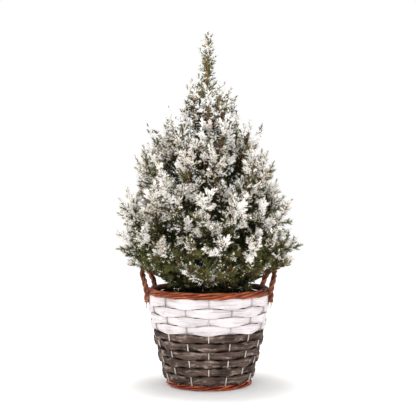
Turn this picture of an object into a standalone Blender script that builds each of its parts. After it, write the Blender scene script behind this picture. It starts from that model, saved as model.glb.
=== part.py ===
"""Potted dwarf spruce dusted with snow, standing in a basket woven from wood splints.

Metres, +Z up. The origin is the middle of the basket's flat underside, and the front is -Y.
"""

import math
import random

import bmesh
import bpy
from mathutils import Matrix, Vector

# Gap kept between pieces that touch or rest on each other
GAP = 0.0003

# Basket wall: the middle of the weave, which opens quickly above the foot and rises steeply at the mouth
FOOT_RADIUS = 0.0695
MOUTH_RADIUS = 0.1013
BELLY = 1.45
WEAVE_BOTTOM = 0.0108
WEAVE_TOP = 0.1525

# Stakes, and the splint courses that pass in front of one stake and behind the next
STAKES = 16
STAKE_RADIUS = 0.0010
COURSES = 10
WHITE_COURSES = 4
SPLINT_THICKNESS = 0.0014
WEAVE_SWING = STAKE_RADIUS + SPLINT_THICKNESS / 2 + 3 * GAP
SAMPLES_PER_STAKE = 2

# Base board, and the arms by which the stakes leave it
BOARD_RADIUS = 0.0635
BOARD_EDGE = 0.0055
BOARD_NECK = 0.0615
BOARD_TOP = 0.0105
BOARD_SIDES = 32
STAKE_ARM_HEIGHT = 0.0090
STAKE_ARM_SUNK = 0.0040

# Foot ring and rim of twisted willow rods
FOOT_RING_RADIUS = 0.0690
FOOT_RING_CREST = 0.0037
FOOT_RING_RODS = 3
RIM_RADIUS = 0.0997
RIM_CREST = 0.0056
RIM_RODS = 4
RIM_HEIGHT = 0.1594
RING_TURNS = 3
RING_STEPS = 32
ROD_VALLEY = 0.72

# Handles: an arch of twisted rods on each side, outside the rim and a little behind the basket's middle
HANDLE_CREST = 0.0038
HANDLE_RODS = 3
HANDLE_HALF_ANGLE = math.radians(23)
HANDLE_SET_BACK = math.radians(7)
HANDLE_FOOT_RADIUS = 0.1079
HANDLE_TOP_RADIUS = 0.1112
HANDLE_BULGE = 0.0022
HANDLE_FOOT_HEIGHT = 0.143
HANDLE_TOP_HEIGHT = 0.1955
HANDLE_SQUARENESS = 0.62
HANDLE_TURNS = 2.5
HANDLE_STEPS = 18
FINGER_ROOM = 0.016

# Soil that fills the basket to just under the rim
SOIL_TOP = 0.1495
SOIL_CLEARANCE = 0.0009

# Trunk, from its flat cut on the soil to the foot of the leader
TRUNK_FOOT = SOIL_TOP + GAP
TRUNK_TOP = 0.495
TRUNK_RADIUS = 0.0075
TRUNK_TIP_RADIUS = 0.0018
TRUNK_SIDES = 12
ROOT_FLARE = 0.0045
FLARE_HEIGHT = 0.010
TRUNK_SWAY = 0.0022
LEADER_TIP = 0.5994

# Crown outline: widest at WIDEST_HEIGHT, closing to a spire above and drawn in below
CROWN_RADIUS = 0.163
WIDEST_HEIGHT = 0.270
CROWN_CLOSES = 0.550
CROWN_BOTTOM = 0.170
SKIRT_DRAWN_IN = 0.20
SPIRE_RADIUS = 0.018
LOWEST_IN_BASKET = 0.1525
LOWEST_OVER_RIM = 0.1720
INSIDE_RIM = 0.083
SKIRT_SLOPE = 0.45

# Lean of the crown to the left, most at LEAN_HEIGHT and none beyond LEAN_REACH above and below it
CROWN_LEAN = 0.008
LEAN_HEIGHT = 0.42
LEAN_REACH = 0.13

# Tiers: name, number of limbs, height of their feet and of their tips, reach as a share of the crown's,
# bough's share of the limb, and azimuth of the first limb in degrees
TIERS = (
    ("skirt", 6, 0.159, 0.188, 0.66, 0.0, 0),
    ("low", 6, 0.168, 0.214, 1.0, 0.0, 30),
    ("middle", 6, 0.186, 0.258, 1.0, 0.28, 0),
    ("high", 5, 0.210, 0.322, 1.0, 0.0, 54),
    ("upper", 5, 0.258, 0.385, 1.0, 0.0, 18),
    ("top", 4, 0.330, 0.448, 1.0, 0.0, 0),
    ("spire", 3, 0.405, 0.512, 1.0, 0.0, 30),
)
AZIMUTH_SCATTER = 0.05
FOOT_SCATTER = 0.003
TIP_SCATTER = 0.007

# Limbs: a level stub at the trunk, then a curve that sags first and turns up towards its tip
ROOT_STUB = 0.0025
BEND_OUTWARD = 0.68
BEND_UPWARD = 0.18
BOUGH_RADIUS = 0.0030
BOUGH_TIP_RADIUS = 0.0020
STEM_RADIUS = 0.0018
STEM_TIP_RADIUS = 0.0010
STEM_END = 0.80

# Sprays of needles: where they stand on a limb, as shares of it, how they point and how long they are
END_SPRAY_FROM = 0.62
LEADER_SPRAY_FROM = 0.22
OUTERMOST_SPRAY = 0.76
INNERMOST_SPRAY = 0.15
AFTER_BOUGH = 0.07
SPRAY_SPACING = 0.0105
FEWEST_SPRAYS = 7
GOLDEN_ANGLE = math.radians(137.5)
ANGLE_AT_BASE = math.radians(62)
ANGLE_AT_TIP = math.radians(36)
NARROWS_UPRIGHT = 0.35
UPWARD_PULL = 0.50
SPRAY_LENGTH = 0.062
LONGEST_SPRAY = 0.45
LENGTH_AT_BASE = 1.25
LENGTH_AT_TIP = 0.8
SPRAY_SCALES = (1.0, 0.85, 0.7)
DIRECTIONS_TRIED = 6
SPACE_BETWEEN = 0.0010
SEED = 11

# One spray: rings of needles round a slim core
SPRAY_RADIUS = 0.0130
SPRAY_FULLNESS = 0.20
SPRAY_CORE = 0.30
NEEDLES_PER_RING = 3
RING_PITCH = 0.0235
FIRST_RING = 0.6
RING_SWELL = 0.35
NEEDLE_FORWARD = 0.75
FULL_UNTIL = 0.85


def clear_scene():
    for old in list(bpy.data.objects):
        bpy.data.objects.remove(old, do_unlink=True)


def new_collection(name):
    collection = bpy.data.collections.new(name)
    bpy.context.scene.collection.children.link(collection)
    return collection


def material(name, colour, roughness):
    made = bpy.data.materials.new(name)
    made.use_nodes = True
    shader = made.node_tree.nodes["Principled BSDF"]
    shader.inputs["Base Color"].default_value = (*colour, 1)
    shader.inputs["Roughness"].default_value = roughness
    shader.inputs["Metallic"].default_value = 0
    return made


def add_object(name, data, surface, collection):
    if surface is not None:
        data.materials.append(surface)
    made = bpy.data.objects.new(name, data)
    collection.objects.link(made)
    return made


def mesh_from(bm, name):
    """Mesh of a bmesh, with its faces pointing out."""
    bmesh.ops.recalc_face_normals(bm, faces=bm.faces)
    mesh = bpy.data.meshes.new(name)
    bm.to_mesh(mesh)
    bm.free()
    return mesh


def polar(radius, azimuth, height):
    return Vector((radius * math.cos(azimuth), radius * math.sin(azimuth), height))


def mix(a, b, share):
    return a + (b - a) * share


def shares(count):
    """Evenly spaced shares from 0 to 1, count steps apart."""
    return [i / count for i in range(count + 1)]


# Ways of making solids


def loft(rings, closed, name):
    """Mesh through rings of equal point counts, either closed on itself or capped at both ends."""
    bm = bmesh.new()
    rows = [[bm.verts.new(point) for point in ring] for ring in rings]
    followers = rows[1:] + rows[:1] if closed else rows[1:]
    for here, there in zip(rows, followers):
        for j in range(len(here)):
            k = (j + 1) % len(here)
            bm.faces.new((here[j], here[k], there[k], there[j]))
    if not closed:
        bm.faces.new(rows[0])
        bm.faces.new(rows[-1])
    return mesh_from(bm, name)


def turned(name, profile, steps, surface, collection):
    """Solid of revolution about Z from (radius, height) points that run down its outer side."""
    bm = bmesh.new()
    verts = [bm.verts.new((radius, 0, height)) for radius, height in profile]
    for a, b in zip(verts, verts[1:]):
        bm.edges.new((a, b))
    mesh = bpy.data.meshes.new(name)
    bm.to_mesh(mesh)
    bm.free()
    made = add_object(name, mesh, surface, collection)
    screw = made.modifiers.new("Turn", "SCREW")
    screw.axis = "Z"
    screw.steps = steps
    screw.render_steps = steps
    screw.use_merge_vertices = True
    screw.merge_threshold = 0.00001
    return made


def tapered_limb(name, points, radii, sides, surface, collection):
    """Closed round limb through points, with its own radius at each of them."""
    curve = bpy.data.curves.new(name, "CURVE")
    curve.dimensions = "3D"
    curve.bevel_depth = 1.0
    curve.bevel_resolution = sides // 2 - 2
    curve.use_fill_caps = True
    spline = curve.splines.new("POLY")
    spline.points.add(len(points) - 1)
    for place, point, radius in zip(spline.points, points, radii):
        place.co = (*point, 1)
        place.radius = radius
    drawn = add_object(name, curve, None, collection)
    graph = bpy.context.evaluated_depsgraph_get()
    mesh = bpy.data.meshes.new_from_object(drawn.evaluated_get(graph))
    bpy.data.objects.remove(drawn, do_unlink=True)
    bm = bmesh.new()
    bm.from_mesh(mesh)
    bmesh.ops.remove_doubles(bm, verts=bm.verts, dist=1e-6)
    bpy.data.meshes.remove(mesh)
    return add_object(name, mesh_from(bm, name), surface, collection)


def join_solids(body, pieces):
    """Unites body with every object of the pieces collection, and removes those objects."""
    union = body.modifiers.new("Union", "BOOLEAN")
    union.operation = "UNION"
    union.operand_type = "COLLECTION"
    union.collection = pieces
    union.solver = "EXACT"
    graph = bpy.context.evaluated_depsgraph_get()
    joined = bpy.data.meshes.new_from_object(body.evaluated_get(graph))
    body.modifiers.clear()
    body.data = joined
    for used in list(pieces.objects):
        bpy.data.objects.remove(used, do_unlink=True)
    bpy.data.collections.remove(pieces)


# Basket


def wall_radius(height):
    """Radius of the middle of the weave at this height."""
    share = min(1.0, max(0.0, height / WEAVE_TOP))
    return mix(FOOT_RADIUS, MOUTH_RADIUS, 1 - (1 - share) ** BELLY)


def splint_course(index, surface, collection):
    """One ring of splint. Even courses pass outside the even stakes and inside the odd ones."""
    pitch = (WEAVE_TOP - WEAVE_BOTTOM) / COURSES
    middle = WEAVE_BOTTOM + (index + 0.5) * pitch
    side = 1 if index % 2 == 0 else -1
    swing_of_sample = (1, -1, -1, 1)
    rings = []
    for i in range(STAKES * SAMPLES_PER_STAKE):
        azimuth = 2 * math.pi * (i + 0.5) / (STAKES * SAMPLES_PER_STAKE)
        swing = side * swing_of_sample[i % len(swing_of_sample)]
        ring = []
        for radial, up in ((-1, -1), (1, -1), (1, 1), (-1, 1)):
            height = middle + up * (pitch - GAP) / 2
            radius = wall_radius(height) + swing * WEAVE_SWING + radial * SPLINT_THICKNESS / 2
            ring.append(polar(radius, azimuth, height))
        rings.append(ring)
    name = f"splint_course_{index + 1:02d}"
    return add_object(name, loft(rings, True, name), surface, collection)


def stake_path(azimuth):
    """Points of one stake, from inside the board, over the foot ring and up the middle of the weave."""
    points = [
        polar(BOARD_NECK - STAKE_ARM_SUNK, azimuth, STAKE_ARM_HEIGHT),
        polar(wall_radius(WEAVE_BOTTOM), azimuth, STAKE_ARM_HEIGHT),
    ]
    for share in shares(4):
        height = mix(WEAVE_BOTTOM + 2 * STAKE_RADIUS, RIM_HEIGHT - RIM_CREST - GAP, share ** 1.4)
        points.append(polar(wall_radius(height), azimuth, height))
    return points


def base_with_stakes(surface, collection):
    """Board of the base, with the stakes that rise from its edge."""
    profile = (
        (0, BOARD_TOP),
        (BOARD_NECK, BOARD_TOP),
        (BOARD_NECK, BOARD_EDGE + 0.0015),
        (BOARD_RADIUS, BOARD_EDGE),
        (BOARD_RADIUS, 0),
        (0, 0),
    )
    board = turned("base_with_stakes", profile, BOARD_SIDES, surface, collection)
    board.rotation_euler.z = math.pi / BOARD_SIDES
    stakes = new_collection("stakes")
    for i in range(STAKES):
        path = stake_path(2 * math.pi * i / STAKES)
        tapered_limb(f"stake_{i + 1}", path, [STAKE_RADIUS] * len(path), 4, None, stakes)
    join_solids(board, stakes)
    return board


def bundle_section(centre, across, along, rods, crest, turn):
    """Outline of a bundle of rods: a crest for each rod, and a valley between neighbours."""
    ring = []
    for i in range(2 * rods):
        angle = turn + math.pi * i / rods
        reach = crest * ROD_VALLEY if i % 2 else crest
        ring.append(centre + reach * (math.cos(angle) * across + math.sin(angle) * along))
    return ring


def twisted_ring(name, radius, height, rods, crest, surface, collection):
    """Ring of twisted rods about the basket's axis."""
    rings = []
    for i in range(RING_STEPS):
        azimuth = 2 * math.pi * i / RING_STEPS
        centre = polar(radius, azimuth, height)
        turn = RING_TURNS * azimuth
        rings.append(bundle_section(centre, polar(1, azimuth, 0), Vector((0, 0, 1)), rods, crest, turn))
    return add_object(name, loft(rings, True, name), surface, collection)


def handle_path(side_azimuth, steps):
    """Middle line of one handle: an arch with steep legs that bulge outwards."""
    points = []
    for share in shares(steps):
        turn = math.pi * share
        azimuth = side_azimuth - HANDLE_HALF_ANGLE * math.cos(turn)
        rise = max(0.0, math.sin(turn)) ** HANDLE_SQUARENESS
        radius = mix(HANDLE_FOOT_RADIUS, HANDLE_TOP_RADIUS, rise * rise)
        radius += HANDLE_BULGE * math.sin(2 * turn) ** 2
        points.append(polar(radius, azimuth, mix(HANDLE_FOOT_HEIGHT, HANDLE_TOP_HEIGHT, rise)))
    return points


def handle(name, side_azimuth, surface, collection):
    points = handle_path(side_azimuth, HANDLE_STEPS)
    outward = polar(1, side_azimuth, 0)
    rings = []
    for i, centre in enumerate(points):
        tangent = (points[min(i + 1, HANDLE_STEPS)] - points[max(i - 1, 0)]).normalized()
        across = (outward - tangent * outward.dot(tangent)).normalized()
        turn = 2 * math.pi * HANDLE_TURNS * i / HANDLE_STEPS
        rings.append(
            bundle_section(centre, across, tangent.cross(across), HANDLE_RODS, HANDLE_CREST, turn)
        )
    return add_object(name, loft(rings, False, name), surface, collection)


def soil(surface, collection):
    """Soil and root ball, down to the board."""
    inset = WEAVE_SWING + SPLINT_THICKNESS / 2 + SOIL_CLEARANCE
    bottom = BOARD_TOP + GAP
    profile = [(0, SOIL_TOP)]
    for share in shares(5):
        height = mix(SOIL_TOP, bottom, share ** 0.7)
        profile.append((wall_radius(height) - inset, height))
    profile.append((0, bottom))
    return turned("soil", profile, 24, surface, collection)


# Trunk and limbs


def crown_radius(height):
    """Radius of the crown's outline at this height."""
    if height < WIDEST_HEIGHT:
        below = (WIDEST_HEIGHT - height) / (WIDEST_HEIGHT - CROWN_BOTTOM)
        return CROWN_RADIUS * (1 - SKIRT_DRAWN_IN * below * below)
    above = min(1.0, (height - WIDEST_HEIGHT) / (CROWN_CLOSES - WIDEST_HEIGHT))
    return max(SPIRE_RADIUS, CROWN_RADIUS * (1 - above * above))


def crown_centre(height):
    """Middle of the crown's outline at this height."""
    away = (height - LEAN_HEIGHT) / LEAN_REACH
    return Vector((-CROWN_LEAN * max(0.0, 1 - away * away), 0, 0))


def trunk_axis(height):
    """Middle of the trunk, which sways a little on its way up."""
    share = (height - TRUNK_FOOT) / (LEADER_TIP - TRUNK_FOOT)
    sway_x = -TRUNK_SWAY * math.sin(2.2 * share) ** 2
    sway_y = 0.6 * TRUNK_SWAY * math.sin(2.9 * share)
    return Vector((sway_x, sway_y, height))


def trunk_radius(height):
    share = (height - TRUNK_FOOT) / (TRUNK_TOP - TRUNK_FOOT)
    flare = ROOT_FLARE * math.exp(-(height - TRUNK_FOOT) / FLARE_HEIGHT)
    return mix(TRUNK_RADIUS, TRUNK_TIP_RADIUS, share) + flare


def trunk(surface, collection):
    """Trunk with its root flare, from its flat cut on the soil up."""
    heights = [TRUNK_FOOT + rise for rise in (0, 0.003, 0.006, 0.010, 0.015, 0.022, 0.035)]
    heights += [mix(heights[-1], TRUNK_TOP, share) for share in shares(8)[1:]]
    points = [trunk_axis(height) for height in heights]
    points[0].xy = points[1].xy
    radii = [trunk_radius(height) for height in heights]
    return tapered_limb("trunk", points, radii, TRUNK_SIDES, surface, collection)


class Limb:
    """Line of one limb, from the trunk to the crown's outline, with the sprays that grow on it."""

    def __init__(self, name, foot, root, bend, tip, bough_share):
        self.name = name
        self.foot = foot
        self.root = root
        self.bend = bend
        self.tip = tip
        self.bough_share = bough_share
        self.innermost = bough_share + AFTER_BOUGH if bough_share else INNERMOST_SPRAY
        self.length = (bend - root).length + (tip - bend).length
        self.end_spray_from = END_SPRAY_FROM
        self.sprays = []

    def at(self, share):
        rest = 1 - share
        return self.root * rest * rest + self.bend * 2 * share * rest + self.tip * share * share

    def forward(self, share):
        return ((self.bend - self.root) * (1 - share) + (self.tip - self.bend) * share).normalized()

    def stretch(self, start, end, count):
        return [self.at(mix(start, end, share)) for share in shares(count)]

    def side_sprays(self):
        return max(FEWEST_SPRAYS, round(self.length * (OUTERMOST_SPRAY - self.innermost) / SPRAY_SPACING))


def tier_limb(tier, number, draw):
    """One limb of a tier, at its own azimuth, height and reach."""
    name, count, foot_height, tip_height, reach, bough_share, first = tier
    azimuth = math.radians(first) + 2 * math.pi * (number + draw.uniform(-1, 1) * AZIMUTH_SCATTER) / count
    foot_height += draw.uniform(-1, 1) * FOOT_SCATTER
    tip_height += draw.uniform(-1, 1) * TIP_SCATTER
    outward = polar(1, azimuth, 0)
    underside = foot_height - (BOUGH_RADIUS if bough_share else STEM_RADIUS)
    foot = trunk_axis(foot_height) + outward * (trunk_radius(underside) + GAP)
    root = foot + outward * ROOT_STUB
    tip = polar(crown_radius(tip_height) * reach * draw.uniform(0.95, 1.0), azimuth, tip_height)
    tip += crown_centre(tip_height)
    bend = mix(root, tip, BEND_OUTWARD)
    bend.z = mix(root.z, tip.z, BEND_UPWARD)
    return Limb(f"{name}_{number + 1}", foot, root, bend, tip, bough_share)


def leader_limb():
    foot = trunk_axis(TRUNK_TOP) + Vector((0, 0, GAP))
    root = foot + Vector((0, 0, ROOT_STUB))
    tip = trunk_axis(LEADER_TIP)
    leader = Limb("leader", foot, root, (root + tip) / 2, tip, 0)
    leader.end_spray_from = LEADER_SPRAY_FROM
    return leader


def grow_limbs(draw):
    limbs = [tier_limb(tier, i, draw) for tier in TIERS for i in range(tier[1])]
    return limbs + [leader_limb()]


# Where the sprays of needles go


def segment_distance(a, b, c, d):
    """Least distance between the segments a-b and c-d."""
    u, v, w = b - a, d - c, a - c
    uu, uv, vv, uw, vw = u.dot(u), u.dot(v), v.dot(v), u.dot(w), v.dot(w)
    size = uu * vv - uv * uv
    s = min(1.0, max(0.0, (uv * vw - vv * uw) / size)) if size > 1e-12 else 0.0
    t = min(1.0, max(0.0, (uv * s + vw) / vv)) if vv > 1e-12 else 0.0
    s = min(1.0, max(0.0, (uv * t - uw) / uu)) if uu > 1e-12 else 0.0
    return (w + u * s - v * t).length


class Space:
    """What already fills the crown, as thick segments that each have an owner."""

    def __init__(self, limbs):
        self.filled = []
        heights = [mix(TRUNK_FOOT, TRUNK_TOP, share) for share in shares(10)]
        for low, high in zip(heights, heights[1:]):
            self.add([trunk_axis(low), trunk_axis(high)], trunk_radius(low), "trunk")
        for limb in limbs:
            self.add(limb.stretch(0, limb.bough_share, 3), BOUGH_RADIUS, limb.name)
            self.add(limb.stretch(limb.bough_share, STEM_END, 5), STEM_RADIUS, limb.name)
        for azimuth in (HANDLE_SET_BACK, math.pi - HANDLE_SET_BACK):
            arch = handle_path(azimuth, 10)
            self.add(arch, HANDLE_CREST, "handle")
            self.add([mix(arch[2], arch[8], share) for share in shares(1)], FINGER_ROOM, "finger gap")
        rim = [polar(RIM_RADIUS, 2 * math.pi * share, RIM_HEIGHT) for share in shares(24)]
        self.add(rim, RIM_CREST, "rim")

    def add(self, points, radius, owner):
        self.filled += [(a, b, radius, owner) for a, b in zip(points, points[1:])]

    def room(self, start, end, owner):
        """Gap from this line to what other owners have, and from its outer half to anything at all."""
        gap = opening = min(start.z - lowest_foliage(start), end.z - lowest_foliage(end))
        middle = (start + end) / 2
        for a, b, thickness, other in self.filled:
            if other != owner:
                gap = min(gap, segment_distance(start, end, a, b) - thickness)
            opening = min(opening, segment_distance(middle, end, a, b) - thickness)
        return gap, opening


def lowest_foliage(point):
    """Least height of foliage at this point: just above the soil, and higher from the rim outwards."""
    beyond = point.xy.length - INSIDE_RIM
    return LOWEST_IN_BASKET if beyond < 0 else LOWEST_OVER_RIM + beyond * SKIRT_SLOPE


def spray_radius(start, end):
    return min(SPRAY_RADIUS, (end - start).length * SPRAY_FULLNESS)


def spray_on(limb, rank, roll):
    """Start and full reach of one of a limb's side sprays, counted from the tip inwards."""
    share = mix(OUTERMOST_SPRAY, limb.innermost, rank / (limb.side_sprays() - 1))
    forward = limb.forward(share)
    side = forward.cross(Vector((0, 0, 1)))
    side = side.normalized() if side.length > 0.05 else Vector((1, 0, 0))
    up = side.cross(forward)
    angle = mix(ANGLE_AT_BASE, ANGLE_AT_TIP, share) * (1 - NARROWS_UPRIGHT * forward.z)
    direction = forward * math.cos(angle) + (side * math.cos(roll) + up * math.sin(roll)) * math.sin(angle)
    direction.z += UPWARD_PULL
    length = min(SPRAY_LENGTH, limb.length * LONGEST_SPRAY) * mix(LENGTH_AT_BASE, LENGTH_AT_TIP, share)
    return limb.at(share), direction.normalized() * length


def best_spray(limb, rank, roll, space):
    """The spray that grows into the most open of a few directions, as long as its room allows."""
    for scale in SPRAY_SCALES:
        best, most_open = None, 0
        for i in range(DIRECTIONS_TRIED):
            start, reach = spray_on(limb, rank, roll + i * GOLDEN_ANGLE)
            end = start + reach * scale
            if (end - crown_centre(end.z)).xy.length > crown_radius(end.z) or end.z > LEADER_TIP:
                continue
            radius = spray_radius(start, end)
            gap, opening = space.room(start, mix(start, end, FULL_UNTIL), limb.name)
            if gap > radius + SPACE_BETWEEN and opening > most_open:
                best, most_open = (start, end, radius), opening
        if best:
            return best
    return None


def fill_crown(limbs, draw):
    """Gives each limb its end spray, then its side sprays a round at a time.

    One that would leave the crown's outline, or enter another mass, is turned, shortened or skipped.
    """
    space = Space(limbs)
    for limb in limbs:
        start = limb.at(limb.end_spray_from)
        limb.sprays.append((start, limb.tip, spray_radius(start, limb.tip)))
        space.add([start, mix(start, limb.tip, FULL_UNTIL)], spray_radius(start, limb.tip), limb.name)
    for rank in range(max(limb.side_sprays() for limb in limbs)):
        for limb in limbs:
            roll = draw.uniform(0, 2 * math.pi)
            if rank >= limb.side_sprays():
                continue
            grown = best_spray(limb, rank, roll, space)
            if grown:
                start, end, radius = grown
                limb.sprays.append(grown)
                space.add([start, mix(start, end, FULL_UNTIL)], radius, limb.name)


# Solids of the crown


def spray(name, start, end, full_radius, turn, collection):
    """A slim core that rings of needles stand out of, each ring turned against the last."""
    length = (end - start).length
    rings = max(2, round(length / RING_PITCH) - 1)
    bm = bmesh.new()
    root = bm.verts.new((0, 0, 0))
    tip = bm.verts.new((0, 0, length))
    rows = []
    for i in range(rings):
        swell = RING_SWELL * math.sin(math.pi * (i + 1) / (rings + 1))
        needle = full_radius * (1 - RING_SWELL + swell)
        height = length * (i + FIRST_RING) / (rings + FIRST_RING)
        row = []
        for j in range(2 * NEEDLES_PER_RING):
            is_needle = (i + j) % 2 == 0
            radius = needle if is_needle else full_radius * SPRAY_CORE
            angle = turn + math.pi * j / NEEDLES_PER_RING
            forward = needle * NEEDLE_FORWARD if is_needle else 0
            row.append(bm.verts.new(polar(radius, angle, height + forward)))
        rows.append(row)
    for j in range(2 * NEEDLES_PER_RING):
        k = (j + 1) % (2 * NEEDLES_PER_RING)
        bm.faces.new((root, rows[0][k], rows[0][j]))
        bm.faces.new((tip, rows[-1][j], rows[-1][k]))
        for low, high in zip(rows, rows[1:]):
            bm.faces.new((low[j], low[k], high[k], high[j]))
    bmesh.ops.triangulate(bm, faces=bm.faces)
    made = add_object(name, mesh_from(bm, name), None, collection)
    turned_to = (end - start).to_track_quat("Z", "Y").to_matrix().to_4x4()
    made.matrix_world = Matrix.Translation(start) @ turned_to
    return made


def bough(limb, surface, collection):
    end = limb.at(limb.bough_share)
    points = [limb.foot] + limb.stretch(0, limb.bough_share, 2)[:-1]
    points += [end - limb.forward(limb.bough_share) * ROOT_STUB, end]
    radii = [mix(BOUGH_RADIUS, BOUGH_TIP_RADIUS, share) for share in shares(len(points) - 1)]
    return tapered_limb(f"bough_{limb.name}", points, radii, 6, surface, collection)


def foliage_mass(limb, surface, collection):
    """Stem, side sprays and end spray of one limb, united in one solid."""
    points = [limb.foot, limb.root]
    if limb.bough_share:
        ahead = limb.forward(limb.bough_share)
        start = limb.at(limb.bough_share) + ahead * GAP
        points = [start, start + ahead * ROOT_STUB]
    points += limb.stretch(limb.bough_share, STEM_END, 4)[1:]
    radii = [mix(STEM_RADIUS, STEM_TIP_RADIUS, share) for share in shares(len(points) - 1)]
    made = tapered_limb(f"mass_{limb.name}", points, radii, 4, surface, collection)
    pieces = new_collection("pieces of " + made.name)
    for i, (start, end, radius) in enumerate(limb.sprays):
        spray(f"spray_{i + 1}", start, end, radius, i * GOLDEN_ANGLE, pieces)
    join_solids(made, pieces)
    return made


def main():
    clear_scene()
    parts = new_collection("potted spruce")
    white = material("white splint", (0.86, 0.83, 0.82), 0.55)
    grey = material("grey splint", (0.16, 0.12, 0.10), 0.7)
    willow = material("willow rods", (0.36, 0.10, 0.04), 0.5)
    pale = material("pale stakes", (0.62, 0.56, 0.50), 0.7)
    earth = material("soil", (0.025, 0.018, 0.013), 0.95)
    bark = material("bark", (0.20, 0.10, 0.05), 0.85)
    needles = material("needles dusted with snow", (0.22, 0.26, 0.16), 0.8)

    base_with_stakes(pale, parts)
    foot_height = FOOT_RING_CREST + GAP
    twisted_ring("foot_ring", FOOT_RING_RADIUS, foot_height, FOOT_RING_RODS, FOOT_RING_CREST, willow, parts)
    for index in range(COURSES):
        splint_course(index, white if index >= COURSES - WHITE_COURSES else grey, parts)
    twisted_ring("rim", RIM_RADIUS, RIM_HEIGHT, RIM_RODS, RIM_CREST, willow, parts)
    handle("handle_left", math.pi - HANDLE_SET_BACK, willow, parts)
    handle("handle_right", HANDLE_SET_BACK, willow, parts)
    soil(earth, parts)

    draw = random.Random(SEED)
    limbs = grow_limbs(draw)
    fill_crown(limbs, draw)
    trunk(bark, parts)
    for limb in limbs:
        if limb.bough_share:
            bough(limb, bark, parts)
        foliage_mass(limb, needles, parts)


main()
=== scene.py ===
"""Looks of the potted dwarf spruce: a snow-dusted crown in a basket woven from wood splints.

Metres, +Z up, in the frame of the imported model. The front is -Y.
"""

import math
import random

import bmesh
import bpy
import numpy as np
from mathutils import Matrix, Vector, noise


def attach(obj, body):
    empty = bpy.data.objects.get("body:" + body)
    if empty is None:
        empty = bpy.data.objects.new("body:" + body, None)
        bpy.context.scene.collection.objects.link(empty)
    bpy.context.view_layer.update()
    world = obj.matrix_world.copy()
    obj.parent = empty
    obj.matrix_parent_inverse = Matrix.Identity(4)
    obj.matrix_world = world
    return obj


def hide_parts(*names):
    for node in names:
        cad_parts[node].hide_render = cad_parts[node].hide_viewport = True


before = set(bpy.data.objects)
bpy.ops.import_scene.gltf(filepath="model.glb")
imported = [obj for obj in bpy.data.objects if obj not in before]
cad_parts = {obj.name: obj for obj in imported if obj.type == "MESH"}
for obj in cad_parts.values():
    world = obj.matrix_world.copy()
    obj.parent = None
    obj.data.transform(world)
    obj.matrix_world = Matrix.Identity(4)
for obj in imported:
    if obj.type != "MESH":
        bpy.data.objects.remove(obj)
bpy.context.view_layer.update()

# Basket wall and its weave, as in the model
FOOT_RADIUS = 0.0695
MOUTH_RADIUS = 0.1013
BELLY = 1.45
WEAVE_BOTTOM = 0.0108
WEAVE_TOP = 0.1525
STAKES = 16
STAKE_RADIUS = 0.0010
COURSES = 10
WHITE_COURSES = 4
WEAVE_SWING = 0.0026

# One splint: its width where it bulges over a stake and where it crosses the wall, the width that its UV
# pairs stand for, half its thickness and the share of it at the edges, how far its middle bows out, and how
# blunt its waves are
BULGE_WIDTH = 0.0166
WHITE_NECK = 0.0129
GREY_NECK = 0.0116
UV_WIDTH = 0.0134
SPLINT_HALF = 0.0006
EDGE_SHARE = 0.35
SPLINT_CUP = 0.0011
WAVE_POWER = 0.8
SAMPLES_PER_STAKE = 14

# How uneven its edges and its swing are, and how far the top edge of the top course rises towards the rim
UNEVEN_EDGE = 0.0006
UNEVEN_SWING = 0.0004
TOP_COURSE_RISE = 0.0016

# Board, rim and foot ring
BOARD_RADIUS = 0.0635
BOARD_TOP = 0.0105
STAKE_ARM_HEIGHT = 0.0090
FOOT_RING_RADIUS = 0.0690
FOOT_RING_HEIGHT = 0.0046
RIM_RADIUS = 0.0997
RIM_CREST = 0.0056
RIM_HEIGHT = 0.1594

# Twisted rods: how many, their radius, their distance from the middle line, and their turns about it
RIM_RODS = (5, 0.0021, 0.0036, 4.0)
FOOT_RING_RODS = (3, 0.0016, 0.0027, 5.0)
HANDLE_RODS = (3, 0.0023, 0.0025, 4.5)

# No rod's middle comes nearer the ground than this many of its radii. Inside a ring lies a dark tube of
# painted shade, with this share of the rods' distance as its radius. Rings and courses read their unevenness
# off a circle of the last radius
LOWEST_ROD = 1.2
SHADE_TUBE_SHARE = 0.75
RELIEF_RADIUS = 0.1

# Handles, as in the model
HANDLE_CREST = 0.0038
HANDLE_HALF_ANGLE = math.radians(23)
HANDLE_SET_BACK = math.radians(7)
HANDLE_FOOT_RADIUS = 0.1079
HANDLE_TOP_RADIUS = 0.1112
HANDLE_BULGE = 0.0022
HANDLE_FOOT_HEIGHT = 0.143
HANDLE_TOP_HEIGHT = 0.1955
HANDLE_SQUARENESS = 0.62
FINGER_ROOM = 0.016

# A handle's feet: how far the cut end runs outwards and to the side, and the thin tail that hangs below it
CUT_END = (0.0040, 0.0012)
TAIL_LENGTH = 0.0105
TAIL_SWAY = 0.0011
TAIL_OUT = 0.0008
TAIL_RADII = (0.0010, 0.0005)

# Soil, with its lumps as size, depth and seed
SOIL_TOP = 0.1495
SOIL_EDGE = 0.0040
SOIL_RIM_RISE = 0.0035
SOIL_LUMPS = ((0.016, 0.0022, 0.0), (0.005, 0.0020, 4.0), (0.002, 0.0012, 8.0))
CRUMBS = 420
CRUMB_SIZES = (0.0008, 0.0026)

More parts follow.
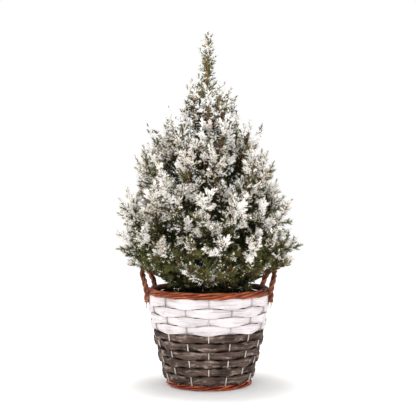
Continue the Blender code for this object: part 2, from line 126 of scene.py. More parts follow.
# Trunk and crown, as in the model
GAP = 0.0003
TRUNK_FOOT = SOIL_TOP + GAP
TRUNK_TOP = 0.495
TRUNK_RADIUS = 0.0075
TRUNK_TIP_RADIUS = 0.0018
ROOT_FLARE = 0.0045
FLARE_HEIGHT = 0.010
TRUNK_SWAY = 0.0022
LEADER_TIP = 0.5994
CROWN_RADIUS = 0.163
WIDEST_HEIGHT = 0.270
CROWN_CLOSES = 0.550
CROWN_BOTTOM = 0.170
SKIRT_DRAWN_IN = 0.20
SPIRE_RADIUS = 0.018
LOWEST_IN_BASKET = 0.1525
LOWEST_OVER_RIM = 0.1720
INSIDE_RIM = 0.083
SKIRT_SLOPE = 0.45
CROWN_LEAN = 0.008
LEAN_HEIGHT = 0.42
LEAN_REACH = 0.13

# Tiers: name, number of limbs, height of their feet and of their tips, reach as a share of the crown's,
# bough's share of the limb, and azimuth of the first limb in degrees
TIERS = (
    ("skirt", 6, 0.159, 0.188, 0.66, 0.0, 0),
    ("low", 6, 0.168, 0.214, 1.0, 0.0, 30),
    ("middle", 6, 0.186, 0.258, 1.0, 0.28, 0),
    ("high", 5, 0.210, 0.322, 1.0, 0.0, 54),
    ("upper", 5, 0.258, 0.385, 1.0, 0.0, 18),
    ("top", 4, 0.330, 0.448, 1.0, 0.0, 0),
    ("spire", 3, 0.405, 0.512, 1.0, 0.0, 30),
)
AZIMUTH_SCATTER = 0.05
FOOT_SCATTER = 0.003
TIP_SCATTER = 0.007
ROOT_STUB = 0.0025
BEND_OUTWARD = 0.68
BEND_UPWARD = 0.18
BOUGH_RADIUS = 0.0030
BOUGH_TIP_RADIUS = 0.0020
STEM_RADIUS = 0.0018
STEM_TIP_RADIUS = 0.0010
STEM_END = 0.80

# Sprays, as in the model
END_SPRAY_FROM = 0.62
LEADER_SPRAY_FROM = 0.22
OUTERMOST_SPRAY = 0.76
INNERMOST_SPRAY = 0.15
AFTER_BOUGH = 0.07
SPRAY_SPACING = 0.0105
FEWEST_SPRAYS = 7
GOLDEN_ANGLE = math.radians(137.5)
ANGLE_AT_BASE = math.radians(62)
ANGLE_AT_TIP = math.radians(36)
NARROWS_UPRIGHT = 0.35
UPWARD_PULL = 0.50
SPRAY_LENGTH = 0.062
LONGEST_SPRAY = 0.45
LENGTH_AT_BASE = 1.25
LENGTH_AT_TIP = 0.8
SPRAY_SCALES = (1.0, 0.85, 0.7)
DIRECTIONS_TRIED = 6
SPACE_BETWEEN = 0.0010
SPRAY_RADIUS = 0.0130
SPRAY_FULLNESS = 0.20
FULL_UNTIL = 0.85
SEED = 11

# Side branches: where they leave a limb, how far round they swing as a share of the way to its neighbour,
# how much higher their tips end, how far out as a share of the limb's reach, and how far up their bend is
BRANCH_FROM = (0.34, 0.46)
BRANCH_SWING = (0.30, 0.46)
BRANCH_RISE = (-0.004, 0.034)
BRANCH_REACH = (0.80, 0.97)
BRANCH_UPWARD = 0.24

# Finer sprays, by the same rule, that fill the room the model's sprays leave: how many a limb tries to grow
# by its tip's height, their lengths as shares of a full one, the clearance and the opening that they need,
# their outermost place, how far out they may end, and how much of their radius they fill
FINE_SPRAYS = ((0.30, 0.40, 0.46, 0.52), (14, 10, 5, 2))
FINE_SCALES = (1.0, 0.75, 0.5)
FINE_CLEARANCE = 0.40
FINE_OPENING = 0.003
OUTERMOST_FINE = OUTERMOST_SPRAY + 0.1
FINE_OUTLINE = (0.64, 0.90)
FINE_FILLS = 0.8

# Their upward pull, and how much of it is left by the height of the limb's tip
FINE_PULL = (0.5, 1.5)
PULL_BY_HEIGHT = ((0.40, 0.47), (1.0, 0.3))

# Branchlets into the hollows that are left: how many places are tried, their heights, how far out they lie
# as shares of the crown's radius, how tall the plume is, and how much room it needs
HOLLOWS = (
    (9000, (0.175, 0.43), (0.35, 0.80), (0.028, 0.044), 0.0058),
    (3000, (0.157, 0.190), (0.30, 0.60), (0.016, 0.026), 0.0050),
)
PLUME_LEAN = 0.35
PLUME_RADIUS = 0.0125

# Where on a limb a branchlet may start, and how far off. A start that isn't this far below the plume counts
# as farther off, by this many times what is lacking
BRANCHLET_STARTS = (0.2, 0.3, 0.4, 0.5, 0.6, 0.7, 0.8)
LONGEST_BRANCHLET = 0.085
START_BELOW = 0.012
LACK_COUNTS = 4

# Sprays other than a limb's own tip are drawn back, by these steps, until they end within a share of the
# crown's radius that lies in this range
HELD_BACK = (0.55, 0.88)
STEPS_BACK = (1.0, 0.9, 0.8, 0.7, 0.6)

# Room for a view of the handles: no needles below this height, which climbs with the distance to the side
HANDLE_VIEW_LOW = 0.168
HANDLE_VIEW_FROM = 0.078
HANDLE_VIEW_SLOPE = 2.0
HANDLE_VIEW_RISE = 0.032

# Side shoots that each spray is carried to, with their lengths at its base and tip as shares of its reach
SIDE_SHOOT_SPACING = 0.0056
SIDE_SHOOTS_FROM = 0.08
SIDE_SHOOTS_TO = 0.84
PLACE_SCATTER = 0.6
SIDE_ANGLE_AT_BASE = math.radians(42)
SIDE_ANGLE_AT_TIP = math.radians(27)
SIDE_LENGTHS = (1.05, 0.28)
SIDE_SCATTER = (0.75, 1.15)
LONGEST_SIDE_SHOOT = 0.55
SHORTEST_SHOOT = 0.006
SIDE_SAG = 0.03

# How many side shoots have their parent's kind of frost, bright or darkened as painted shade, and how many
# of the others have the bright kind
SAME_FROST_SHARE = 0.45
OTHER_BRIGHT_SHARE = 0.75

# Twigs: their radii, and how far along a shoot its twig goes, which is less far above this height
TWIG_RADIUS = 0.0012
INNER_TWIG_SHARE = 0.8
SIDE_TWIG_RADIUS = 0.0006
TWIG_TIP_RADIUS = 0.0003
TWIG_END = 0.9
SHORT_TWIGS_ABOVE = 0.42
SHORT_TWIG_END = 0.7

# Stems of limbs with tips above this height are red, as new twigs are, and twigs above the next are golden.
# Of the others so many are new, out to this depth in the crown. Side twigs deeper than the last are left out
RED_STEMS_ABOVE = 0.37
GOLDEN_ABOVE = 0.47
NEW_TWIG_SHARE = 0.62
NEW_TWIG_DEPTH = 0.06
LAST_SIDE_TWIG_DEPTH = 0.07

# Sprays: how far they sag, how full of side shoots they are by height, and how many have bright frost
# rather than frost darkened as painted shade, which is more common low down
SPRAY_SAG = 0.07
FULLNESS_BY_HEIGHT = ((0.38, 0.45), (0.98, 0.58))
BRIGHT_BY_HEIGHT = ((0.25, 0.40), (0.72, 0.95))

# Sprays bowed down by snow: between these heights, how many, how far their tips drop and how high they arch
BOWED_HEIGHTS = (0.20, 0.39)
BOWED_SHARE = 0.45
BOWED_DROP = 0.26
BOWED_ARCH = 0.20

# Shoots straight from a stem: the first and last share of it (or height), their spacing, their lengths from
# first to last, and their angle
INNER_SHOOTS = (0.14, 0.74, 0.0075, ((0, 1), (0.032, 0.032)), math.radians(48))
LEADER_SHOOTS = (0.0, 0.92, 0.0034, ((0, 0.35, 0.7, 1), (0.018, 0.027, 0.018, 0.007)), math.radians(36))
TRUNK_SHOOTS = (
    (TRUNK_FOOT + 0.008, 0.44, 0.0042, ((0, 1), (0.034, 0.034)), math.radians(48)),
    (0.44, TRUNK_TOP, 0.0032, ((0, 1), (0.024, 0.024)), math.radians(38)),
)

# Their first turn, the scatter of their lengths, their sag, the reach of their side shoots as a share of
# theirs, and how many have bright frost rather than frost darkened as painted shade, below HIGH_UP and
# above it
FIRST_TURN = 1.7
INNER_SCATTER = (0.7, 1.2)
INNER_SAG = 0.04
INNER_SIDE_REACH = 0.26
INNER_BRIGHT = (0.5, 0.85)

# The part of a limb's stem that has needles of its own, and how much frost they have
CLOTHED_PART = (0.10, 0.78)
CLOTHED_FROST = 0.3

# Greens, as 0 for dark, 1 for green and 2 for olive: the choice above this height, on the rest of the
# leader, deep in the crown and elsewhere
TIP_ABOVE = 0.51
TIP_TONES = (1, 2, 2, 2)
LEADER_TONES = (1, 1, 2)
DEEP_TONES = (0, 0, 1)
OUTER_TONES = (0, 1, 1, 1, 2)

# Needles
NEEDLE_LENGTH = 0.0084
LENGTH_SCATTER = (0.72, 1.1)
SHORTER_AT_TIP = 0.30
NEEDLE_THICKNESS = 0.0012
FROSTED_THICKNESS = 0.0023
FROSTED_LENGTH = 0.95
FROSTED_SWELL = 0.45
NEEDLE_PITCH = 0.00064
FEWEST_NEEDLES = 6
NEEDLE_ANGLE_AT_BASE = math.radians(56)
NEEDLE_ANGLE_AT_TIP = math.radians(20)
TURN_SCATTER = 0.3
ANGLE_SCATTER = 0.13
LEAST_ANGLE = 0.05
TUFT_LENGTH = 0.0075
OLIVE_TUFT = 0.2

# Beyond this depth bare needles are dark and thicker. Above this height needles are thicker too: so much
# for frosted and bare ones
DARK_DEPTH = 0.060
DARK_THICKER = 1.6
HIGH_UP = 0.41
FROSTED_THICKER = 1.15
BARE_THICKER = 1.35

# Shares of needles that are kept: frosted ones, bare ones beyond that depth, and all of them by height
FROSTED_KEPT = 0.95
DEEP_KEPT = 0.46
KEPT_BY_HEIGHT = ((0.39, 0.44), (1.0, 0.54))

# Frost: how much a shoot has by height and by chance, how deep in the crown it is full and where it ends,
# the share of that depth which counts by height, and the least that is left
FROST_BY_HEIGHT = (
    (0.185, 0.210, 0.240, 0.270, 0.360, 0.420, 0.500, 0.525),
    (0.16, 0.30, 0.46, 0.98, 1.26, 1.40, 1.40, 0.52),
)
FROST_CHOICE = (0.40, 0.85, 1.05, 1.15, 1.25)
FULL_FROST_DEPTH = 0.043
LAST_FROST_DEPTH = 0.092
DEPTH_BY_HEIGHT = ((0.38, 0.43), (1, 0.45))
LEAST_BY_DEPTH = 0.03

# Frost along a shoot: the bare part of its foot, on a side shoot and on another, how long it then takes to
# reach its full amount, the least of it, and how bare the tip is
SIDE_BARE_FOOT = 0.10
BARE_FOOT = 0.28
FROST_SETS_IN = 0.30
LEAST_AT_FOOT = 0.05
SIDE_BARE_TIP = ((0.38, 0.43), (0.35, 0.95))
BARE_TIP = 0.9

# How far a needle faces the snow is counted from its outward and its upward direction, by these parts. Its
# frost is the first of the next two, and the second times that. Frost gathers in clumps of this size, with
# so much between them and in them. It shows from the first of the last amounts, and is certain at the second
FACING_OUT = 0.45
FACING_UP = 0.75
FROST_BY_FACING = (0.85, 0.5)
CLUMP_SIZE = 0.015
CLUMP_CONTRAST = 2.4
CLUMP_AMOUNTS = (0.50, 1.30)
FROST_SHOWS = (0.28, 0.68)
LEAST_ODDS = 0.02

# Odds of bright frost rather than frost darkened as painted shade, on laden shoots, bright ones and others,
# and what facing adds: painted light, brighter on the upper and outer faces of the plumes
BRIGHT_ODDS = {"laden": 0.97, "bright": 0.80, "dull": 0.25}
BRIGHT_BY_FACING = 0.35

# Clumps of snow that the photo shows from the front, as (x, z, size). Each is set on the foremost shoot that
# is this near to it, or else on one a little farther off, as the rest of the distance counts so many times.
# Those far in front are looked for a little farther out than their x
FRONT_CLUMPS = (
    (0.007, 0.439, 0.009), (-0.009, 0.419, 0.007), (0.023, 0.432, 0.006), (-0.014, 0.389, 0.009),
    (0.004, 0.400, 0.007), (-0.012, 0.362, 0.008), (0.021, 0.366, 0.007), (0.025, 0.346, 0.007),
    (-0.050, 0.365, 0.008), (-0.092, 0.328, 0.008), (-0.078, 0.324, 0.008), (-0.025, 0.318, 0.010),
    (0.029, 0.322, 0.008), (0.050, 0.303, 0.011), (0.085, 0.300, 0.008), (0.086, 0.286, 0.006),
    (-0.101, 0.306, 0.006), (-0.036, 0.268, 0.010), (-0.093, 0.254, 0.008), (-0.074, 0.233, 0.007),
    (0.083, 0.260, 0.009), (0.029, 0.254, 0.007), (0.066, 0.233, 0.012), (0.007, 0.227, 0.008),
    (-0.024, 0.194, 0.009), (0.007, 0.188, 0.009), (-0.041, 0.202, 0.008), (0.054, 0.221, 0.008),
)
CLUMP_NEARNESS = 0.004
BESIDE_COUNTS = 12

# A shoot is under a clump if this point of it lies within so many of the clump's sizes, measured from a
# little above its middle and with heights counted more
LADEN_AT = 0.7
CLUMP_REACH = 1.3
CLUMP_LIFT = 0.002
HEIGHT_COUNTS = 1.2

# Clumps at the sides and behind: how many, their sizes and heights, how deep and how far forward they lie
OTHER_CLUMPS = 84
OTHER_CLUMP_SIZES = (0.005, 0.010)
OTHER_CLUMP_HEIGHTS = (0.20, 0.46)
OTHER_CLUMP_DEPTH = 0.03
OTHER_CLUMPS_BEHIND = -0.03

# Dabs of snow on shoots that aren't laden: how many have one, below HIGH_UP and above it, and the least
# frost and the greatest depth for one
DAB_SHARES = (0.20, 0.80)
DAB_FROST = 0.35
DAB_DEPTH = 0.05

# Balls that the snow is joined from: spacing, sizes on laden shoots and in dabs, where on a shoot they start
# and end, how each one's size and place scatter, how flat they are, and how fine the joined surface is
BALL_SPACING = 0.0024
LUMP_BALLS = (0.0014, 0.0023)
DAB_BALLS = (0.0013, 0.0021)
LUMP_STARTS = (0.2, 0.4)
LUMP_ENDS = (0.8, 1.05)
BALL_SIZES = (0.6, 1.25)
BALL_SCATTER = 0.0009
BALL_HEIGHT = 0.85
SNOW_VOXEL = 0.0015

# Bark of trunk and boughs: how far it is stretched lengthwise, the amount of its finer plates and how much
# finer they are, the height at which plates are flat, and their relief and middle level as shares
BARK_STRETCH = 0.45
FINE_PLATES = (0.5, 2.3)
FLAT_PLATES = 0.6
BARK_RELIEF = 0.28
BARK_LEVEL = 0.22

# Camera: where it stands, what it looks at, and its lens and sensor in millimetres
CAMERA_PLACE = (-0.0012, -1.8, 0.35)
CAMERA_AIM = (-0.0012, 0, 0.2997)
LENS = 91.6
SENSOR = 36.0
WARM_WHITE = (1.0, 0.985, 0.96)

# Most triangles in one piece of needles, and most segments that Space takes
LARGEST_PIECE = 195000
MOST_SEGMENTS = 6000

rng = np.random.default_rng(SEED)


def polar(radius, azimuth, height):
    return Vector((radius * math.cos(azimuth), radius * math.sin(azimuth), height))


def round_axis(radius, azimuth, height):
    """Points round the basket's axis, from arrays or single numbers."""
    parts = np.broadcast_arrays(radius * np.cos(azimuth), radius * np.sin(azimuth), height)
    return np.stack(parts, -1)


def round_angles(count):
    """Evenly spaced angles of a full turn."""
    return 2 * np.pi * np.arange(count) / count


def mix(a, b, share):
    return a + (b - a) * share


def amount_at(place, amounts):
    """Amount at a place, often a height, from a row of places and a row of amounts."""
    return float(np.interp(place, *amounts))


def shares(count):
    """Evenly spaced shares from 0 to 1, count steps apart."""
    return [i / count for i in range(count + 1)]


# Making pieces from arrays


def mesh_piece(name, points, triangles, surface, replaced=(), uvs=None, smooth=True):
    """Piece of the object from arrays of points and triangles, with a UV pair for each corner if given."""
    mesh = bpy.data.meshes.new(name)
    count = len(triangles)
    mesh.vertices.add(len(points))
    mesh.vertices.foreach_set("co", np.asarray(points, np.float32).ravel())
    mesh.loops.add(3 * count)
    mesh.loops.foreach_set("vertex_index", np.asarray(triangles, np.int32).ravel())
    mesh.polygons.add(count)
    mesh.polygons.foreach_set("loop_start", np.arange(0, 3 * count, 3, dtype=np.int32))
    mesh.polygons.foreach_set("use_smooth", np.full(count, smooth))
    if uvs is not None:
        layer = mesh.uv_layers.new(name="UVMap")
        layer.data.foreach_set("uv", np.asarray(uvs, np.float32).ravel())
    mesh.update(calc_edges=True)
    mesh.materials.append(surface)
    made = bpy.data.objects.new(name, mesh)
    bpy.context.scene.collection.objects.link(made)
    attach(made, "root")
    if replaced:
        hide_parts(*replaced)
    return made


def grid_triangles(rows, columns, closed_rows=False, closed_columns=True):
    """Triangles of a grid of points that runs row by row."""
    i, j = np.meshgrid(
        np.arange(rows if closed_rows else rows - 1),
        np.arange(columns if closed_columns else columns - 1),
        indexing="ij",
    )
    here, there = i * columns, (i + 1) % rows * columns
    k = (j + 1) % columns
    a, b, c, d = here + j, here + k, there + k, there + j
    return np.stack([np.stack([a, b, c], -1), np.stack([a, c, d], -1)], 2).reshape(-1, 3)


def grid_uvs(rows, columns, along, across, closed_rows=False):
    """UV pairs, in metres along and across, for the corners that grid_triangles makes on closed columns."""
    i, j = np.meshgrid(np.arange(rows if closed_rows else rows - 1), np.arange(columns), indexing="ij")
    u0, u1 = along[i], along[i + 1]
    v0, v1 = across[j], across[j + 1]
    corners = [(u0, v0), (u0, v1), (u1, v1), (u0, v0), (u1, v1), (u1, v0)]
    return np.stack([np.stack(pair, -1) for pair in corners], 2).reshape(-1, 2)


def unit(vectors):
    return vectors / np.maximum(np.linalg.norm(vectors, axis=-1, keepdims=True), 1e-12)


def ring_directions(path, sides, closed=False):
    """Directions from each point of a path to the sides of a tube about it."""
    along = np.roll(path, -1, 0) - np.roll(path, 1, 0) if closed else np.gradient(path, axis=0)
    tangents = unit(along)
    across = unit(np.cross(tangents, (0.0, 0.0, 1.0) if closed else (0.31, 0.17, 0.93)))
    up = np.cross(tangents, across)
    angles = round_angles(sides)[None, :, None]
    return np.cos(angles) * across[:, None] + np.sin(angles) * up[:, None]


def tube(path, radii, sides, closed=False):
    """Points and triangles of a tube along a path, capped at both ends unless it is closed.

    The radii are one for all, one for each point of the path, or one for each point and side.
    """
    radii = np.asarray(radii, float)
    if radii.ndim < 2:
        radii = np.broadcast_to(radii, (sides, len(path))).T
    points = (path[:, None] + ring_directions(path, sides, closed) * radii[..., None]).reshape(-1, 3)
    triangles = grid_triangles(len(path), sides, closed)
    if not closed:
        last = len(points)
        points = np.vstack([points, path[:1], path[-1:]])
        j = np.arange(sides)
        k = (j + 1) % sides
        foot = np.stack([np.full(sides, last), k, j], -1)
        tip = np.stack([np.full(sides, last + 1), last - sides + j, last - sides + k], -1)
        triangles = np.vstack([triangles, foot, tip])
    return points, triangles


def joined(parts):
    """One pair of points and triangles from several."""
    offset, points, triangles = 0, [], []
    for part_points, part_triangles in parts:
        points.append(part_points)
        triangles.append(part_triangles + offset)
        offset += len(part_points)
    return np.vstack(points), np.vstack(triangles)


def relief(points, size, depth, seed=0.0):
    """Smooth random height, up to about depth either way, at each point."""
    shift = Vector((seed, seed, seed))
    return np.array([depth * noise.noise(Vector(point) / size + shift) for point in points])


# Materials


class Surface:
    """Material with a Principled shader, and short ways to add and link nodes."""

    def __init__(self, name, roughness, gloss=0.12):
        self.material = bpy.data.materials.new(name)
        self.material.use_nodes = True
        self.tree = self.material.node_tree
        self.shader = self.tree.nodes["Principled BSDF"]
        self.shader.inputs["Roughness"].default_value = roughness
        self.shader.inputs["Specular IOR Level"].default_value = gloss

    def node(self, kind, **settings):
        made = self.tree.nodes.new(kind)
        for key, value in settings.items():
            if key in made.inputs:
                made.inputs[key].default_value = value
            else:
                setattr(made, key.lower(), value)
        return made

    def link(self, output, target):
        self.tree.links.new(output, target)

    def noise(self, coordinates, scale, detail=3.0, roughness=0.55):
        made = self.node("ShaderNodeTexNoise", Scale=scale, Detail=detail, Roughness=roughness)
        self.link(coordinates, made.inputs["Vector"])
        return made.outputs["Fac"]

    def stretched(self, source, scale):
        made = self.node("ShaderNodeMapping")
        made.inputs["Scale"].default_value = scale
        self.link(source, made.inputs["Vector"])
        return made.outputs["Vector"]

    def ramp(self, factor, *stops):
        made = self.node("ShaderNodeValToRGB")
        points = made.color_ramp.elements
        while len(points) < len(stops):
            points.new(0.5)
        for point, (place, colour) in zip(points, stops):
            point.position = place
            point.color = (*colour, 1)
        self.link(factor, made.inputs["Fac"])
        return made.outputs["Color"]

    def sharpened(self, factor, low, high):
        """Factor that runs from nought at low to one at high."""
        return self.ramp(factor, (low, (0, 0, 0)), (high, (1, 1, 1)))

    def mixing(self, first, second):
        """Node that mixes two colours."""
        made = self.tree.nodes.new("ShaderNodeMix")
        made.data_type = "RGBA"
        self.link(first, made.inputs["A"])
        self.link(second, made.inputs["B"])
        return made

    def blended(self, factor, first, second):
        made = self.mixing(first, second)
        self.link(factor, made.inputs["Factor"])
        return made.outputs["Result"]

    def painted_shade_at_edges(self, along, colour, shade):
        """The same colour, darker towards both edges of a splint: painted shade where the weave hides it."""
        apart = self.node("ShaderNodeSeparateXYZ")
        self.link(along, apart.inputs["Vector"])
        size = self.node("ShaderNodeMath", operation="ABSOLUTE")
        self.link(apart.outputs["Y"], size.inputs[0])
        scaled = self.node("ShaderNodeMath", operation="MULTIPLY")
        scaled.inputs[1].default_value = 2 / UV_WIDTH
        self.link(size.outputs["Value"], scaled.inputs[0])
        shade_ramp = self.ramp(scaled.outputs["Value"], (0.62, (1, 1, 1)), (0.97, (shade, shade, shade)))
        made = self.mixing(colour, shade_ramp)
        made.blend_type = "MULTIPLY"
        made.inputs["Factor"].default_value = 1.0
        return made.outputs["Result"]

    def colour(self, output):
        self.link(output, self.shader.inputs["Base Color"])

    def bump(self, height, strength, distance):
        made = self.node("ShaderNodeBump", Strength=strength, Distance=distance)
        self.link(height, made.inputs["Height"])
        self.link(made.outputs["Normal"], self.shader.inputs["Normal"])


def mixed(first, second, share):
    """Colour between two others."""
    return tuple(mix(a, b, share) for a, b in zip(first, second))


def plain_surface(name, colour, roughness):
    """One plain colour, for needles and twigs."""
    surface = Surface(name, roughness)
    surface.shader.inputs["Base Color"].default_value = (*colour, 1)
    return surface.material


# Scales of the noise in wood and bark, along the grain and across it
WOOD_GRAIN = (24, 560, 1)
WOOD_STREAKS = (18, 170, 1)
WOOD_STRETCHES = (21, 24, 1)
WORN_PATCHES = (40, 120, 1)
BARK_STRETCHES = (34, 90, 1)
BARK_STREAKS = (60, 1500, 1)


def darker(colour, share):
    return tuple(share * part for part in colour)


def splint_surface(name, colours, patch_share, roughness, bump, painted_edge_shade=1.0, blotched=0.0):
    """Split wood: fine grain along the splint, a tone of its own for each stretch, paler worn patches, and
    painted shade towards its edges if asked for.
    """
    dark, light, patch = colours
    surface = Surface(name, roughness)
    along = surface.node("ShaderNodeUVMap", uv_map="UVMap").outputs["UV"]
    grain = surface.noise(surface.stretched(along, WOOD_GRAIN), 1.0, 5.0, 0.65)
    streak = surface.noise(surface.stretched(along, WOOD_STREAKS), 1.0, 3.0)
    tone = surface.noise(surface.stretched(along, WOOD_STRETCHES), 1.0, 2.0)
    worn = surface.noise(surface.stretched(along, WORN_PATCHES), 1.0, 4.0, 0.65)
    half_light = mixed(dark, light, 0.45 - 0.20 * blotched)
    shaded = surface.ramp(grain, (0.34, darker(dark, 0.45)), (0.62, half_light))
    lit = surface.ramp(grain, (0.32, dark), (0.60, light))
    is_light = surface.sharpened(tone, 0.40 + 0.04 * blotched, 0.62 - 0.05 * blotched)
    by_stretch = surface.blended(is_light, shaded, lit)
    wood = surface.blended(surface.sharpened(streak, 0.38 + 0.10 * blotched, 0.72), by_stretch, lit)
    patched = surface.ramp(grain, (0.34, mixed(dark, patch, 0.55)), (0.60, patch))
    edge = 1 - patch_share
    face = surface.blended(surface.sharpened(worn, edge - 0.05, edge + 0.05), wood, patched)
    # Painted shade towards both edges of the splint, where the weave hides it
    if painted_edge_shade < 1:
        face = surface.painted_shade_at_edges(along, face, painted_edge_shade)
    surface.colour(face)
    surface.bump(grain, bump, 0.0007)
    return surface.material


def rod_surface(name, dark, middle, light, roughness):
    """Willow bark: fine streaks along the rod, with darker and redder stretches."""
    surface = Surface(name, roughness)
    along = surface.node("ShaderNodeUVMap", uv_map="UVMap").outputs["UV"]
    broad = surface.noise(surface.stretched(along, BARK_STRETCHES), 1.0, 3.0)
    streak = surface.noise(surface.stretched(along, BARK_STREAKS), 1.0, 4.0, 0.7)
    body = surface.ramp(broad, (0.34, dark), (0.50, middle), (0.66, light))
    deep = surface.ramp(broad, (0.34, darker(dark, 0.4)), (0.66, dark))
    surface.colour(surface.blended(surface.sharpened(streak, 0.34, 0.52), deep, body))
    surface.bump(streak, 0.7, 0.0005)
    return surface.material


def ground_surface(name, dark, light, scale, distance):
    """Crumbly or scaly matter."""
    surface = Surface(name, 0.95)
    place = surface.node("ShaderNodeTexCoord").outputs["Object"]
    grain = surface.noise(place, scale, 6.0, 0.7)
    surface.colour(surface.ramp(grain, (0.35, dark), (0.68, light)))
    surface.bump(grain, 1.0, distance)
    return surface.material


def snow_surface():
    surface = Surface("snow", 0.75)
    surface.shader.inputs["Base Color"].default_value = (0.97, 0.96, 0.95, 1)
    surface.shader.inputs["Subsurface Weight"].default_value = 0.0
    place = surface.node("ShaderNodeTexCoord").outputs["Object"]
    surface.bump(surface.noise(place, 900.0, 4.0, 0.7), 0.6, 0.0006)
    return surface.material


white_wood = splint_surface(
    "white_painted_splint", ((0.74, 0.67, 0.68), (0.87, 0.81, 0.82), (0.91, 0.865, 0.875)), 0.40, 0.6, 0.25
)
# Weathered splints, with painted shade towards their edges
grey_wood = splint_surface(
    "weathered_splint", ((0.036, 0.022, 0.018), (0.175, 0.120, 0.098), (0.42, 0.32, 0.27)), 0.42, 0.75, 0.8,
    painted_edge_shade=0.30, blotched=1.0,
)
# Unpainted wood for the inner faces of the white courses, made darker than the weathered splints as painted
# shade inside the basket
inner_wood_painted_shade = splint_surface(
    "unpainted_splint", ((0.020, 0.014, 0.011), (0.070, 0.048, 0.036), (0.12, 0.09, 0.07)), 0.2, 0.8, 0.5
)
bare_stake = splint_surface(
    "bare_stake", ((0.50, 0.44, 0.38), (0.80, 0.76, 0.71), (0.30, 0.25, 0.20)), 0.3, 0.7, 0.4
)
# White-painted stakes, coloured grey: painted shade of the narrow gaps between the splints where they show
painted_stake = splint_surface(
    "painted_stake", ((0.40, 0.35, 0.35), (0.66, 0.61, 0.62), (0.30, 0.25, 0.24)), 0.3, 0.6, 0.4
)
willow, red_willow, brown_willow = (
    rod_surface(name, dark, middle, light, roughness)
    for name, dark, middle, light, roughness in (
        ("willow_rods", (0.085, 0.017, 0.008), (0.34, 0.078, 0.032), (0.66, 0.20, 0.092), 0.45),
        ("red_willow_rods", (0.10, 0.014, 0.007), (0.42, 0.074, 0.031), (0.80, 0.22, 0.10), 0.45),
        ("brown_willow_rods", (0.060, 0.014, 0.009), (0.29, 0.102, 0.055), (0.64, 0.32, 0.21), 0.5),
    )
)
# Dark tube inside the twisted rings: painted shade in the gaps between their rods
ring_gap_shade = plain_surface("inside_of_rings", (0.030, 0.009, 0.006), 0.8)
earth = ground_surface("soil", (0.005, 0.004, 0.003), (0.030, 0.021, 0.015), 330.0, 0.002)
bark = ground_surface("bark", (0.045, 0.022, 0.013), (0.20, 0.11, 0.062), 260.0, 0.0012)
twig_surfaces = {
    kind: plain_surface(f"{kind}_twigs", colour, roughness)
    for kind, colour, roughness in (
        ("old", (0.075, 0.038, 0.021), 0.8),
        ("new", (0.35, 0.140, 0.064), 0.6),
        ("golden", (0.58, 0.31, 0.09), 0.6),
        ("side", (0.16, 0.115, 0.048), 0.7),
    )
}
needle_surfaces = {
    kind: plain_surface(f"{kind}_needles", colour, roughness)
    for kind, colour, roughness in (
        ("dark", (0.040, 0.046, 0.016), 0.7),
        ("green", (0.074, 0.084, 0.027), 0.6),
        ("olive", (0.145, 0.147, 0.046), 0.6),
        # Frost darkened as painted shade, for the undersides of plumes and more shoots low in the crown
        ("dull_frost", (0.75, 0.675, 0.59), 0.8),
        ("bright_frost", (0.98, 0.95, 0.915), 0.8),
    )
}
snow = snow_surface()


# Basket


def wall_radius(height):
    """Radius of the middle of the weave at each height."""
    share = np.clip(np.asarray(height, float) / WEAVE_TOP, 0, 1)
    return mix(FOOT_RADIUS, MOUTH_RADIUS, 1 - (1 - share) ** BELLY)


def splint_course(index):
    """One ring of splint that bows out over every other stake and in behind the next."""
    is_white = index >= COURSES - WHITE_COURSES
    middle = WEAVE_BOTTOM + (index + 0.5) * (WEAVE_TOP - WEAVE_BOTTOM) / COURSES
    side = 1 if index % 2 == 0 else -1
    count = STAKES * SAMPLES_PER_STAKE
    azimuth = round_angles(count)
    circle = round_axis(RELIEF_RADIUS, azimuth, 0.0)
    wave = side * np.cos(STAKES / 2 * azimuth)
    wave = np.sign(wave) * np.abs(wave) ** WAVE_POWER
    neck = WHITE_NECK if is_white else GREY_NECK
    half = mix(neck, BULGE_WIDTH, wave ** 2) / 2 + UNEVEN_EDGE * relief(circle, 0.022, 1.0, 7.3 * index)
    lift = middle + UNEVEN_EDGE * relief(circle, 0.03, 1.0, 3.1 * index + 50)
    swing = wave * (WEAVE_SWING + UNEVEN_SWING * relief(circle, 0.025, 1.0, 5.7 * index + 90))
    stations = np.array([-1.0, -0.93, -0.6, -0.2, 0.2, 0.6, 0.93, 1.0])
    section = [(v, 1.0) for v in stations] + [(v, -1.0) for v in stations[::-1]]
    rows = []
    for v, face in section:
        height = lift + v * half + (TOP_COURSE_RISE if index == COURSES - 1 and v > 0.5 else 0)
        edge = EDGE_SHARE if abs(v) == 1 else 1.0
        radius = wall_radius(height) + swing + SPLINT_CUP * (0.5 - v * v) + face * SPLINT_HALF * edge
        rows.append(round_axis(radius, azimuth, height))
    points = np.stack(rows, 1).reshape(-1, 3)
    along = wall_radius(middle) * 2 * np.pi * np.arange(count + 1) / count + 0.9 * index
    across = np.array([v for v, face in section] + [-1.0]) * UV_WIDTH / 2
    triangles = grid_triangles(count, len(section), closed_rows=True)
    uvs = grid_uvs(count, len(section), along, across, closed_rows=True)
    surface, slot = (white_wood, "white_splint") if is_white else (grey_wood, "grey_splint")
    name = f"splint_course_{index + 1:02d}"
    uvs = uvs.reshape(-1, 3, 2)[:, ::-1]
    made = mesh_piece(f"woven_{name}", points, triangles[:, ::-1], surface, (name,), uvs)
    # Inner faces of the white courses get the unpainted wood, darkened as painted shade inside the basket
    if is_white:
        made.data.materials.append(inner_wood_painted_shade)
        column = np.tile(np.repeat(np.arange(len(section)), 2), count)
        inside = (column >= len(stations)) & (column < len(section) - 1)
        made.data.polygons.foreach_set("material_index", inside.astype(np.int32))


def stake_line(azimuth, low, high, count):
    heights = np.linspace(low, high, count)
    return round_axis(wall_radius(heights), azimuth, heights)


